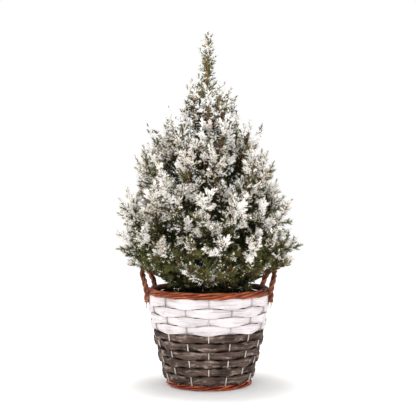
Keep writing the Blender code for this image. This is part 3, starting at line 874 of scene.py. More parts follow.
def stakes(name, low, high, surface):
    """The part of every stake between two heights."""
    parts = []
    for i, azimuth in enumerate(round_angles(STAKES)):
        path = stake_line(azimuth, low, high, 24)
        radii = STAKE_RADIUS * (1 + relief(path, 0.012, 0.18, i))
        parts.append(tube(path, radii, 10))
    points, triangles = joined(parts)
    corners = points[triangles]
    uvs = np.stack([corners[..., 2], np.arctan2(corners[..., 1], corners[..., 0]) * 0.1], -1)
    mesh_piece(name, points, triangles, surface, ("base_with_stakes",), uvs)


def base_board():
    """Board of the base with an eased edge, and the arms by which the stakes leave it."""
    profile = [(0, 0), (BOARD_RADIUS - 0.0008, 0), (BOARD_RADIUS, 0.0008), (BOARD_RADIUS, 0.0062)]
    profile += [(BOARD_RADIUS - 0.001, 0.0075), (BOARD_RADIUS - 0.002, BOARD_TOP), (0, BOARD_TOP)]
    sides = 96
    rows = [round_axis(radius, round_angles(sides), height) for radius, height in profile]
    parts = [(np.vstack(rows), grid_triangles(len(rows), sides))]
    for azimuth in round_angles(STAKES):
        reach = np.linspace(BOARD_RADIUS - 0.006, float(wall_radius(WEAVE_BOTTOM)) - 0.0006, 8)
        level = round_axis(reach, azimuth, STAKE_ARM_HEIGHT)
        rise = stake_line(azimuth, STAKE_ARM_HEIGHT + 0.0006, WEAVE_BOTTOM + 0.004, 5)
        parts.append(tube(np.vstack([level, rise]), STAKE_RADIUS, 10))
    points, triangles = joined(parts)
    uvs = points[triangles][..., :2]
    mesh_piece("base_board", points, triangles, bare_stake, ("base_with_stakes",), uvs)


def rod_uvs(path, sides, closed=False):
    """UV pairs for the corners of a tube: metres along it, and round it."""
    steps = np.linalg.norm(np.diff(path, axis=0), axis=1)
    if closed:
        steps = np.append(steps, np.linalg.norm(path[0] - path[-1]))
    along = np.concatenate([[0], np.cumsum(steps)])
    uvs = grid_uvs(len(path), sides, along, 0.008 * np.arange(sides + 1) / sides, closed)
    return uvs if closed else np.vstack([uvs, np.zeros((6 * sides, 2))])


def joined_rods(paths, radii, sides, closed):
    """Points, triangles and UV pairs of several rods, each with its own stretch of bark."""
    parts = [tube(path, rod_radii, sides, closed) for path, rod_radii in zip(paths, radii)]
    uvs = [rod_uvs(path, sides, closed) + number for number, path in enumerate(paths)]
    points, triangles = joined(parts)
    return points, triangles, np.vstack(uvs)


def twisted_ring(name, radius, height, rods, surface):
    """Ring of twisted rods about the basket's axis, with a dark tube inside it as painted shade between the
    rods.
    """
    number_of_rods, rod_radius, orbit, turns = rods
    count = 432
    azimuth = round_angles(count)
    circle = round_axis(RELIEF_RADIUS, azimuth, 0.0)
    paths, radii = [], []
    for number in range(number_of_rods):
        wander = relief(circle, 0.05, 0.5, 11.0 * number + height)
        turn = turns * azimuth + 2 * np.pi * number / number_of_rods + wander
        away = orbit * (1 + relief(circle, 0.03, 0.2, 17.0 * number))
        level = np.maximum(height + away * np.sin(turn), LOWEST_ROD * rod_radius)
        path = round_axis(radius + away * np.cos(turn), azimuth, level)
        paths.append(path)
        radii.append(rod_radius * (1 + relief(path, 0.02, 0.30, 3.0 * number)))
    points, triangles, uvs = joined_rods(paths, radii, 11, True)
    mesh_piece(f"{name}_rods", points, triangles, surface, (name,), uvs)
    # A dark tube along the ring's middle, as painted shade in the gaps between the rods
    points, triangles = tube(round_axis(radius, azimuth, height), orbit * SHADE_TUBE_SHARE, 8, True)
    mesh_piece(f"{name}_core", points, triangles, ring_gap_shade, (name,))


def handle_point(side_azimuth, share):
    turn = math.pi * share
    azimuth = side_azimuth - HANDLE_HALF_ANGLE * math.cos(turn)
    rise = max(0.0, math.sin(turn)) ** HANDLE_SQUARENESS
    radius = mix(HANDLE_FOOT_RADIUS, HANDLE_TOP_RADIUS, rise * rise)
    radius += HANDLE_BULGE * math.sin(2 * turn) ** 2
    return polar(radius, azimuth, mix(HANDLE_FOOT_HEIGHT, HANDLE_TOP_HEIGHT, rise))


def handle_path(side_azimuth, steps):
    """Middle line of one handle: an arch with steep legs that bulge outwards."""
    return [handle_point(side_azimuth, share) for share in shares(steps)]


def even_path(points, count):
    """The same path with evenly spaced points."""
    lengths = np.concatenate([[0], np.cumsum(np.linalg.norm(np.diff(points, axis=0), axis=1))])
    wanted = np.linspace(0, lengths[-1], count)
    return np.stack([np.interp(wanted, lengths, points[:, k]) for k in range(3)], -1)


def handle(name, side_azimuth):
    """Arch of twisted rods, with a cut end and a thin tail at each foot."""
    middle = even_path(np.array(handle_path(side_azimuth, 240)), 150)
    outward = np.array(polar(1, side_azimuth, 0))
    tangents = unit(np.gradient(middle, axis=0))
    across = unit(outward - tangents * (tangents @ outward)[:, None])
    beside = np.cross(tangents, across)
    number_of_rods, rod_radius, orbit, turns = HANDLE_RODS
    ramp = np.linspace(0, 1, len(middle))
    paths, radii = [], []
    for number in range(number_of_rods):
        turn = 2 * np.pi * (turns * ramp + number / number_of_rods) + relief(middle, 0.02, 0.5, 5.0 * number)
        path = middle + orbit * (np.cos(turn)[:, None] * across + np.sin(turn)[:, None] * beside)
        paths.append(path)
        radii.append(rod_radius * (1 + relief(path, 0.012, 0.3, number + 20.0)))
    for foot, phase in ((middle[0], 1.0), (middle[-1], 2.2)):
        out = unit(foot * (1, 1, 0))
        aside = np.cross(out, (0, 0, 1))
        paths.append(foot + np.linspace(-0.3, 1, 12)[:, None] * (out * CUT_END[0] + aside * CUT_END[1]))
        radii.append(np.full(12, TAIL_RADII[0]))
        drop = np.linspace(0, 1, 24)[:, None]
        sway = TAIL_SWAY * np.sin(9 * drop + phase) * aside
        paths.append(foot + drop * np.array((0, 0, -TAIL_LENGTH)) + sway + out * TAIL_OUT)
        radii.append(mix(*TAIL_RADII, drop[:, 0]))
    points, triangles, uvs = joined_rods(paths, radii, 12, False)
    mesh_piece(f"{name}_rods", points, triangles, brown_willow, (name,), uvs)


def soil_piece():
    """Root ball with a crumbly top."""
    rings, sides = 46, 150
    edge = float(wall_radius(SOIL_TOP)) - SOIL_EDGE
    out = np.linspace(0, 1, rings)
    azimuth = round_angles(sides)
    top = round_axis((edge * out)[:, None], azimuth, SOIL_TOP - 0.001).reshape(-1, 3)
    lumps = sum(relief(top, *lump) for lump in SOIL_LUMPS)
    top[:, 2] += lumps + SOIL_RIM_RISE * np.repeat(out ** 6, sides)
    heights = np.linspace(SOIL_TOP - 0.004, BOARD_TOP + GAP, 9)
    wall = [round_axis(radius, azimuth, height)
            for height, radius in zip(heights, wall_radius(heights) - SOIL_EDGE)]
    points = np.vstack([top] + wall + [round_axis(0.0, azimuth, BOARD_TOP + GAP)])
    parts = [(points, grid_triangles(rings + len(heights) + 1, sides)[:, ::-1])]
    ball_points, ball_triangles = icosphere(1)
    for _ in range(CRUMBS):
        radius = edge * 0.97 * math.sqrt(rng.random())
        turn = 2 * math.pi * rng.random()
        size = rng.uniform(*CRUMB_SIZES)
        shape = ball_points * (1 + 0.5 * (rng.random((len(ball_points), 1)) - 0.5)) * size
        parts.append((shape + np.array(polar(radius, turn, SOIL_TOP - 0.0006)), ball_triangles))
    points, triangles = joined(parts)
    mesh_piece("crumbly_soil", points, triangles, earth, ("soil",))


def icosphere(subdivisions):
    bm = bmesh.new()
    bmesh.ops.create_icosphere(bm, subdivisions=subdivisions, radius=1)
    points = np.array([vert.co[:] for vert in bm.verts])
    triangles = np.array([[vert.index for vert in face.verts] for face in bm.faces])
    bm.free()
    return points, triangles


def basket():
    for index in range(COURSES):
        splint_course(index)
    change = WEAVE_BOTTOM + (COURSES - WHITE_COURSES) * (WEAVE_TOP - WEAVE_BOTTOM) / COURSES
    base_board()
    stakes("bare_stakes", WEAVE_BOTTOM, change, bare_stake)
    # The white-painted stakes are grey: painted shade of the gaps where they show
    stakes("painted_stakes", change, RIM_HEIGHT - RIM_CREST, painted_stake)
    twisted_ring("rim", RIM_RADIUS, RIM_HEIGHT, RIM_RODS, willow)
    twisted_ring("foot_ring", FOOT_RING_RADIUS, FOOT_RING_HEIGHT, FOOT_RING_RODS, red_willow)
    handle("handle_left", math.pi - HANDLE_SET_BACK)
    handle("handle_right", HANDLE_SET_BACK)
    soil_piece()


# Limbs, by the model's rule


def crown_radius(height):
    """Radius of the crown's outline at this height."""
    if height < WIDEST_HEIGHT:
        below = (WIDEST_HEIGHT - height) / (WIDEST_HEIGHT - CROWN_BOTTOM)
        return CROWN_RADIUS * (1 - SKIRT_DRAWN_IN * below * below)
    above = min(1.0, (height - WIDEST_HEIGHT) / (CROWN_CLOSES - WIDEST_HEIGHT))
    return max(SPIRE_RADIUS, CROWN_RADIUS * (1 - above * above))


def crown_centre(height):
    """Middle of the crown's outline at this height."""
    away = (height - LEAN_HEIGHT) / LEAN_REACH
    return Vector((-CROWN_LEAN * max(0.0, 1 - away * away), 0, 0))


def out_from_centre(point):
    """Distance of a point from the middle of the crown, level with it."""
    return (point - crown_centre(point.z)).xy.length


def trunk_axis(height):
    """Middle of the trunk, which sways a little on its way up."""
    share = (height - TRUNK_FOOT) / (LEADER_TIP - TRUNK_FOOT)
    sway_x = -TRUNK_SWAY * math.sin(2.2 * share) ** 2
    sway_y = 0.6 * TRUNK_SWAY * math.sin(2.9 * share)
    return Vector((sway_x, sway_y, height))


def trunk_radius(height):
    share = (height - TRUNK_FOOT) / (TRUNK_TOP - TRUNK_FOOT)
    flare = ROOT_FLARE * math.exp(-(height - TRUNK_FOOT) / FLARE_HEIGHT)
    return mix(TRUNK_RADIUS, TRUNK_TIP_RADIUS, share) + flare


class Limb:
    """Line of one limb, from the trunk to the crown's outline, with the sprays that grow on it."""

    def __init__(self, name, foot, root, bend, tip, bough_share):
        self.name = name
        self.foot = foot
        self.root = root
        self.bend = bend
        self.tip = tip
        self.bough_share = bough_share
        self.innermost = bough_share + AFTER_BOUGH if bough_share else INNERMOST_SPRAY
        self.length = (bend - root).length + (tip - bend).length
        self.end_spray_from = END_SPRAY_FROM
        self.sprays = []

    def at(self, share):
        rest = 1 - share
        return self.root * rest * rest + self.bend * 2 * share * rest + self.tip * share * share

    def forward(self, share):
        return ((self.bend - self.root) * (1 - share) + (self.tip - self.bend) * share).normalized()

    def stretch(self, start, end, count):
        return [self.at(mix(start, end, share)) for share in shares(count)]

    def side_sprays(self):
        return max(FEWEST_SPRAYS, round(self.length * (OUTERMOST_SPRAY - self.innermost) / SPRAY_SPACING))


def bend_between(root, tip, upward):
    """Where a limb bends: most of the way out, and this share of the way up."""
    bend = mix(root, tip, BEND_OUTWARD)
    bend.z = mix(root.z, tip.z, upward)
    return bend


def tier_limb(tier, number, draw):
    """One limb of a tier, at its own azimuth, height and reach."""
    name, count, foot_height, tip_height, reach, bough_share, first = tier
    azimuth = math.radians(first) + 2 * math.pi * (number + draw.uniform(-1, 1) * AZIMUTH_SCATTER) / count
    foot_height += draw.uniform(-1, 1) * FOOT_SCATTER
    tip_height += draw.uniform(-1, 1) * TIP_SCATTER
    outward = polar(1, azimuth, 0)
    underside = foot_height - (BOUGH_RADIUS if bough_share else STEM_RADIUS)
    foot = trunk_axis(foot_height) + outward * (trunk_radius(underside) + GAP)
    root = foot + outward * ROOT_STUB
    tip = polar(crown_radius(tip_height) * reach * draw.uniform(0.95, 1.0), azimuth, tip_height)
    tip += crown_centre(tip_height)
    bend = bend_between(root, tip, BEND_UPWARD)
    return Limb(f"{name}_{number + 1}", foot, root, bend, tip, bough_share)


def leader_limb():
    foot = trunk_axis(TRUNK_TOP) + Vector((0, 0, GAP))
    root = foot + Vector((0, 0, ROOT_STUB))
    tip = trunk_axis(LEADER_TIP)
    leader = Limb("leader", foot, root, (root + tip) / 2, tip, 0)
    leader.end_spray_from = LEADER_SPRAY_FROM
    return leader


def grow_limbs(draw):
    limbs = [tier_limb(tier, i, draw) for tier in TIERS for i in range(tier[1])]
    return limbs + [leader_limb()]


def segment_distances(a, b, c, d):
    """Least distance between the segment a-b and each of the segments c-d."""
    u, v, w = b - a, d - c, a - c
    uu, uv, vv, uw, vw = u @ u, v @ u, (v * v).sum(1), w @ u, (v * w).sum(1)
    vv = np.maximum(vv, 1e-12)
    s = np.clip((uv * vw - vv * uw) / np.maximum(uu * vv - uv * uv, 1e-12), 0, 1)
    t = np.clip((uv * s + vw) / vv, 0, 1)
    s = np.clip((uv * t - uw) / max(uu, 1e-12), 0, 1)
    return np.linalg.norm(w + u * s[:, None] - v * t[:, None], axis=1)


class Space:
    """What already fills the crown, as thick segments that each have an owner."""

    def __init__(self, limbs):
        self.rows = np.zeros((MOST_SEGMENTS, 7))
        self.owners = np.zeros(MOST_SEGMENTS, int)
        self.known = {}
        self.count = 0
        heights = [mix(TRUNK_FOOT, TRUNK_TOP, share) for share in shares(10)]
        for low, high in zip(heights, heights[1:]):
            self.add([trunk_axis(low), trunk_axis(high)], trunk_radius(low), "trunk")
        for limb in limbs:
            self.add(limb.stretch(0, limb.bough_share, 3), BOUGH_RADIUS, limb.name)
            self.add(limb.stretch(limb.bough_share, STEM_END, 5), STEM_RADIUS, limb.name)
        for azimuth in (HANDLE_SET_BACK, math.pi - HANDLE_SET_BACK):
            arch = handle_path(azimuth, 10)
            self.add(arch, HANDLE_CREST, "handle")
            self.add([mix(arch[2], arch[8], share) for share in shares(1)], FINGER_ROOM, "finger gap")
        rim = [polar(RIM_RADIUS, 2 * math.pi * share, RIM_HEIGHT) for share in shares(24)]
        self.add(rim, RIM_CREST, "rim")

    def add(self, points, radius, owner):
        for a, b in zip(points, points[1:]):
            self.rows[self.count] = (*a, *b, radius)
            self.owners[self.count] = self.known.setdefault(owner, len(self.known))
            self.count += 1

    def room(self, start, end, owner):
        """Gap from this line to what other owners have, and from its outer half to anything at all."""
        floor = min(start.z - lowest_foliage(start), end.z - lowest_foliage(end))
        rows = self.rows[:self.count]
        firsts, lasts, radii = rows[:, :3], rows[:, 3:6], rows[:, 6]
        a, b = np.array(start), np.array(end)
        whole = segment_distances(a, b, firsts, lasts) - radii
        outer = segment_distances((a + b) / 2, b, firsts, lasts) - radii
        others = self.owners[:self.count] != self.known.get(owner, -1)
        return min(floor, whole[others].min()), min(floor, outer.min())


def lowest_foliage(point):
    """Least height of foliage at this point: just above the soil, and higher from the rim outwards."""
    beyond = point.xy.length - INSIDE_RIM
    return LOWEST_IN_BASKET if beyond < 0 else LOWEST_OVER_RIM + beyond * SKIRT_SLOPE


def spray_radius(start, end):
    return min(SPRAY_RADIUS, (end - start).length * SPRAY_FULLNESS)


def spray_at(limb, share, roll, pull=UPWARD_PULL):
    """Start and full reach of a side spray at this share of a limb."""
    forward = limb.forward(share)
    side = forward.cross(Vector((0, 0, 1)))
    side = side.normalized() if side.length > 0.05 else Vector((1, 0, 0))
    up = side.cross(forward)
    angle = mix(ANGLE_AT_BASE, ANGLE_AT_TIP, share) * (1 - NARROWS_UPRIGHT * forward.z)
    direction = forward * math.cos(angle) + (side * math.cos(roll) + up * math.sin(roll)) * math.sin(angle)
    direction.z += pull
    length = min(SPRAY_LENGTH, limb.length * LONGEST_SPRAY) * mix(LENGTH_AT_BASE, LENGTH_AT_TIP, share)
    return limb.at(share), direction.normalized() * length


def best_spray(limb, share, roll, space, scales=SPRAY_SCALES, clearance=1.0, least=0.0, pull=UPWARD_PULL,
               outline=1.0):
    """The spray that grows into the most open of a few directions, as long as its room allows."""
    for scale in scales:
        best, most_open = None, least
        for i in range(DIRECTIONS_TRIED):
            start, reach = spray_at(limb, share, roll + i * GOLDEN_ANGLE, pull)
            end = start + reach * scale
            if out_from_centre(end) > outline * crown_radius(end.z) or end.z > LEADER_TIP:
                continue
            radius = spray_radius(start, end)
            gap, opening = space.room(start, mix(start, end, FULL_UNTIL), limb.name)
            if gap > radius * clearance + SPACE_BETWEEN and opening > most_open:
                best, most_open = (start, end, radius), opening
        if best:
            return best
    return None


def take_up(limb, spray, space, fills=1.0):
    """Gives a limb a spray, and fills the space that it takes."""
    start, end, radius = spray
    limb.sprays.append(spray)
    space.add([start, mix(start, end, FULL_UNTIL)], radius * fills, limb.name)


def take_up_end_spray(limb, space):
    start = limb.at(limb.end_spray_from)
    take_up(limb, (start, limb.tip, spray_radius(start, limb.tip)), space)


def fill_crown(limbs, draw):
    """Gives each limb its end spray, then its side sprays a round at a time, as the model does."""
    space = Space(limbs)
    for limb in limbs:
        take_up_end_spray(limb, space)
    for rank in range(max(limb.side_sprays() for limb in limbs)):
        for limb in limbs:
            roll = draw.uniform(0, 2 * math.pi)
            if rank >= limb.side_sprays():
                continue
            share = mix(OUTERMOST_SPRAY, limb.innermost, rank / (limb.side_sprays() - 1))
            grown = best_spray(limb, share, roll, space)
            if grown:
                take_up(limb, grown, space)
    return space


def side_branches(limbs, draw):
    """Two finer limbs from each limb of a tier, that swing out to either side of it."""
    grown = []
    counts = {tier[0]: tier[1] for tier in TIERS}
    for limb in limbs:
        if limb.name == "leader":
            continue
        neighbours = 2 * math.pi / counts[limb.name.split("_")[0]]
        azimuth = math.atan2(limb.tip.y, limb.tip.x)
        reach = out_from_centre(limb.tip) / crown_radius(limb.tip.z)
        for side in (-1, 1):
            root = limb.at(draw.uniform(*BRANCH_FROM))
            height = limb.tip.z + draw.uniform(*BRANCH_RISE)
            turned = azimuth + side * neighbours * draw.uniform(*BRANCH_SWING)
            out = crown_radius(height) * reach * draw.uniform(*BRANCH_REACH)
            tip = polar(out, turned, height) + crown_centre(height)
            bend = bend_between(root, tip, BRANCH_UPWARD)
            grown.append(Limb(f"{limb.name}_side_{len(grown)}", root, root, bend, tip, 0))
    return grown


def fill_further(limbs, space, draw):
    """Grows finer sprays wherever they find room, close enough for their needles to mingle."""
    wanted = {limb.name: round(amount_at(limb.tip.z, FINE_SPRAYS)) for limb in limbs}
    for number in range(max(wanted.values())):
        for limb in limbs:
            share = draw.uniform(limb.innermost, OUTERMOST_FINE)
            roll = draw.uniform(0, 2 * math.pi)
            pull = draw.uniform(*FINE_PULL) * amount_at(limb.tip.z, PULL_BY_HEIGHT)
            outline = draw.uniform(*FINE_OUTLINE)
            if number >= wanted[limb.name]:
                continue
            needed = (FINE_SCALES, FINE_CLEARANCE, FINE_OPENING)
            grown = best_spray(limb, share, roll, space, *needed, pull, outline)
            if grown:
                take_up(limb, grown, space, FINE_FILLS)


def fill_hollows(limbs, space, draw):
    """Grows a branchlet from the nearest limb into each hollow where an upright plume still fits."""
    starts = [(limb, limb.at(share)) for limb in limbs for share in BRANCHLET_STARTS]
    places = np.array([place for _, place in starts])
    for tries, heights, out_shares, plume_heights, room in HOLLOWS:
        for _ in range(tries):
            height, azimuth = draw.uniform(*heights), draw.uniform(0, 2 * math.pi)
            out = mix(*out_shares, math.sqrt(draw.random())) * crown_radius(height)
            foot = polar(out, azimuth, height) + crown_centre(height)
            top = foot + polar(PLUME_LEAN, azimuth, 1).normalized() * draw.uniform(*plume_heights)
            if out_from_centre(top) > draw.uniform(*FINE_OUTLINE) * crown_radius(top.z):
                continue
            if space.room(foot, top, "")[0] < room:
                continue
            lack = np.maximum(0, START_BELOW - (foot.z - places[:, 2]))
            away = np.linalg.norm(places - np.array(foot), axis=1) + lack * LACK_COUNTS
            nearest = int(np.argmin(away))
            if away[nearest] > LONGEST_BRANCHLET:
                continue
            limb, start = starts[nearest]
            limb.sprays.append((start, top, PLUME_RADIUS))
            space.add([foot, top], room, limb.name)


# Shoots: the finer twigs that carry the needles


class Shoot:
    """One curved twig, with how much snow its needles carry, whether its frost is bright or darkened as
    painted shade, and how green it is.
    """

    def __init__(self, start, end, radius, sag, frost, bright, tone):
        self.start = np.array(start)
        self.end = np.array(end)
        self.length = float(np.linalg.norm(self.end - self.start))
        self.middle = (self.start + self.end) / 2 + np.array((0, 0, -sag * self.length))
        self.radius = radius
        self.frost = frost
        self.bright = bright
        self.tone = tone
        self.is_side = False
        self.is_stem = False
        self.is_laden = False

    def at(self, share):
        share = np.asarray(share, float)[..., None]
        rest = 1 - share
        return self.start * rest * rest + self.middle * 2 * share * rest + self.end * share * share

    def forward(self, share):
        share = np.asarray(share, float)[..., None]
        return unit((self.middle - self.start) * (1 - share) + (self.end - self.middle) * share)


def across_shoot(forward):
    """Two directions across a shoot's own, to the side and up."""
    side = unit(np.cross(forward, (0.02, 0.03, 1.0)))
    return side, np.cross(side, forward)


def turned_out(forward, angle, turn):
    """Direction at this angle to a shoot's own, turned about it."""
    side, up = across_shoot(forward)
    return forward * math.cos(angle) + (side * math.cos(turn) + up * math.sin(turn)) * math.sin(angle)


def depth_in_crown(point):
    """How far inside the crown's outline a point lies, level with it."""
    vector = Vector(point)
    return crown_radius(vector.z) - out_from_centre(vector)


def frost_at(point, draw):
    """Share of needles under snow: least at the bottom, most from the middle up, little on the leader."""
    return amount_at(point[2], FROST_BY_HEIGHT) * draw.choice(FROST_CHOICE)


def tone_at(point, draw):
    """Which green a spray has, from 0 for the darkest to 2 for olive."""
    if point[2] > GOLDEN_ABOVE:
        return draw.choice(TIP_TONES if point[2] > TIP_ABOVE else LEADER_TONES)
    return draw.choice(DEEP_TONES if depth_in_crown(point) > DARK_DEPTH else OUTER_TONES)


def lowest_beside_handles(x):
    """Least height of needles at this distance to the side: they leave the arches of the handles in view."""
    return HANDLE_VIEW_LOW + np.clip((abs(x) - HANDLE_VIEW_FROM) * HANDLE_VIEW_SLOPE, 0, HANDLE_VIEW_RISE)


def inside_crown(point):
    vector = Vector(point)
    lowest = lowest_foliage(vector)
    if abs(vector.x) > HANDLE_VIEW_FROM:
        lowest = max(lowest, float(lowest_beside_handles(vector.x)))
    return depth_in_crown(vector) > -0.002 and lowest < vector.z < LEADER_TIP - 0.3 * NEEDLE_LENGTH


def side_shoots(parent, reach, roll, draw):
    """Shorter shoots round a parent shoot, each a golden angle on from the last."""
    grown = []
    count = max(2, round(parent.length * (SIDE_SHOOTS_TO - SIDE_SHOOTS_FROM) / SIDE_SHOOT_SPACING))
    for k in range(count):
        share = mix(SIDE_SHOOTS_FROM, SIDE_SHOOTS_TO, (k + PLACE_SCATTER * draw.random()) / count)
        start = parent.at(share)
        angle = mix(SIDE_ANGLE_AT_BASE, SIDE_ANGLE_AT_TIP, share)
        direction = turned_out(parent.forward(share), angle, roll + k * GOLDEN_ANGLE)
        length = reach / math.sin(angle) * mix(*SIDE_LENGTHS, share) * draw.uniform(*SIDE_SCATTER)
        length = min(length, parent.length * LONGEST_SIDE_SHOOT)
        end = start + direction * length
        if length < SHORTEST_SHOOT or not inside_crown(end):
            continue
        is_same = draw.random() < SAME_FROST_SHARE
        bright = parent.bright if is_same else draw.random() < OTHER_BRIGHT_SHARE
        shoot = Shoot(start, end, SIDE_TWIG_RADIUS, SIDE_SAG, parent.frost, bright, parent.tone)
        shoot.is_side = True
        grown.append(shoot)
    return grown


def held_back(start, end, share):
    """End of a spray, drawn back until it stays within this share of the crown's radius."""
    for scale in STEPS_BACK:
        drawn = start + (end - start) * scale
        if out_from_centre(drawn) < share * crown_radius(drawn.z):
            break
    return drawn


def sprays_carried_on(limb, draw):
    """A limb's sprays as curved shoots with side shoots."""
    grown = []
    low, high = BOWED_HEIGHTS
    for number, (start, end, radius) in enumerate(limb.sprays):
        if number > 0:
            end = held_back(start, end, draw.uniform(*HELD_BACK))
        is_bowed = number > 0 and low < end.z < high and draw.random() < BOWED_SHARE
        if is_bowed:
            end = end - Vector((0, 0, BOWED_DROP * (end - start).length))
        drawn_back = end - (end - start).normalized() * NEEDLE_LENGTH * 0.5
        if not inside_crown(drawn_back):
            continue
        frost = frost_at(end, draw)
        bright = draw.random() < amount_at(end.z, BRIGHT_BY_HEIGHT)
        sag = -BOWED_ARCH if is_bowed else SPRAY_SAG
        main = Shoot(start, drawn_back, TWIG_RADIUS, sag, frost, bright, tone_at(end, draw))
        grown.append(main)
        fullness = amount_at(end.z, FULLNESS_BY_HEIGHT)
        grown += side_shoots(main, radius * fullness, number * GOLDEN_ANGLE, draw)
    return grown


def inner_shoots(line, forward, length, row, draw):
    """Short shoots round a stem, each with a few side shoots."""
    grown = []
    first, last, spacing, lengths, spread = row
    count = int(length * (last - first) / spacing)
    for k in range(count):
        share = (k + 0.5) / count
        place = mix(first, last, share)
        turn = FIRST_TURN + k * GOLDEN_ANGLE
        direction = turned_out(np.array(forward(place)), spread, turn)
        reach = amount_at(share, lengths)
        end = np.array(line(place)) + direction * reach * draw.uniform(*INNER_SCATTER)
        if inside_crown(end):
            bright = draw.random() < INNER_BRIGHT[int(end[2] > HIGH_UP)]
            frost = frost_at(end, draw)
            radius = TWIG_RADIUS * INNER_TWIG_SHARE
            shoot = Shoot(line(place), end, radius, INNER_SAG, frost, bright, tone_at(end, draw))
            grown.append(shoot)
            grown += side_shoots(shoot, INNER_SIDE_REACH * reach, turn, draw)
    return grown


def clothed_stem(limb):
    """The stem of a limb as a shoot of its own, for the needles that sit straight on it."""
    first, last = CLOTHED_PART
    stem = Shoot(limb.at(first), limb.at(last), STEM_RADIUS, 0, CLOTHED_FROST, False, 1)
    bent = (first + last) / 2 - first * last
    plain = (1 - first) * (1 - last)
    stem.middle = np.array(limb.root * plain + limb.bend * (2 * bent) + limb.tip * (first * last))
    stem.is_stem = True
    return stem


def all_shoots(limbs, draw):
    """Every shoot of the plant: carried-on sprays, and short shoots along the limbs and up the trunk."""
    grown = []
    for limb in limbs:
        is_leader = limb.name == "leader"
        if not is_leader:
            grown.append(clothed_stem(limb))
        grown += sprays_carried_on(limb, draw)
        row = LEADER_SHOOTS if is_leader else INNER_SHOOTS
        grown += inner_shoots(limb.at, limb.forward, limb.length, row, draw)
    for row in TRUNK_SHOOTS:
        grown += inner_shoots(trunk_axis, lambda height: (0, 0, 1), 1.0, row, draw)
    return grown


# Needles


class Needles:
    """Feet, directions, lengths and thicknesses of needles of one kind."""

    def __init__(self):
        self.rows = []

    def add(self, feet, directions, lengths, thickness):
        if len(feet):
            widths = np.full((len(feet), 1), thickness)
            self.rows.append(np.hstack([feet, directions, lengths[:, None], widths]))

    def spikes(self, swell):
        """Pointed three-sided spikes, swollen at swell of their length if it isn't nought."""
        rows = np.vstack(self.rows)
        feet, directions, lengths, widths = rows[:, :3], rows[:, 3:6], rows[:, 6:7], rows[:, 7:8]
        across = unit(np.cross(directions, (0.37, 0.61, 0.70)))
        beside = np.cross(directions, across)
        ring_at = feet + directions * lengths * swell
        ring = []
        for k in range(3):
            angle = 2 * math.pi * k / 3
            ring.append(ring_at + (across * math.cos(angle) + beside * math.sin(angle)) * widths / 2)
        points = np.stack(ring + [feet + directions * lengths, feet], 1)
        if swell == 0:
            points = points[:, :4]
            faces = np.array([(0, 1, 3), (1, 2, 3), (2, 0, 3), (0, 2, 1)])
        else:
            faces = np.array([(0, 1, 3), (1, 2, 3), (2, 0, 3), (1, 0, 4), (2, 1, 4), (0, 2, 4)])
        corners = points.shape[1]
        triangles = faces[None] + corners * np.arange(len(points))[:, None, None]
        return points, triangles


depth_of = np.vectorize(lambda x, y, z: depth_in_crown((x, y, z)))


def frost_odds(shoot, share, feet, facing, near_tip, depth):
    """Chance of frost on each needle: less in shelter and near the shoot's foot and tip, more in clumps."""
    if shoot.is_laden:
        return np.ones(len(feet))
    height = feet[:, 2]
    sheltered = depth * np.interp(height, *DEPTH_BY_HEIGHT)
    open_share = (LAST_FROST_DEPTH - sheltered) / (LAST_FROST_DEPTH - FULL_FROST_DEPTH)
    bare_foot = SIDE_BARE_FOOT if shoot.is_side else BARE_FOOT
    outer_part = np.clip((share - bare_foot) / FROST_SETS_IN, LEAST_AT_FOOT, 1)
    patches = np.repeat(relief(feet[::2], CLUMP_SIZE, 1.0), 2)[:len(feet)]
    gathered = mix(*CLUMP_AMOUNTS, np.clip(0.5 + CLUMP_CONTRAST * patches, 0, 1))
    from_facing = FROST_BY_FACING[0] + FROST_BY_FACING[1] * facing
    reached = shoot.frost * np.clip(open_share, LEAST_BY_DEPTH, 1) * outer_part * from_facing * gathered
    first, certain = FROST_SHOWS
    odds = np.clip((reached - first) / (certain - first), LEAST_ODDS, 1)
    bare_tip = np.interp(height, *SIDE_BARE_TIP) if shoot.is_side else BARE_TIP
    return odds * (1 - bare_tip * near_tip ** 0.5)


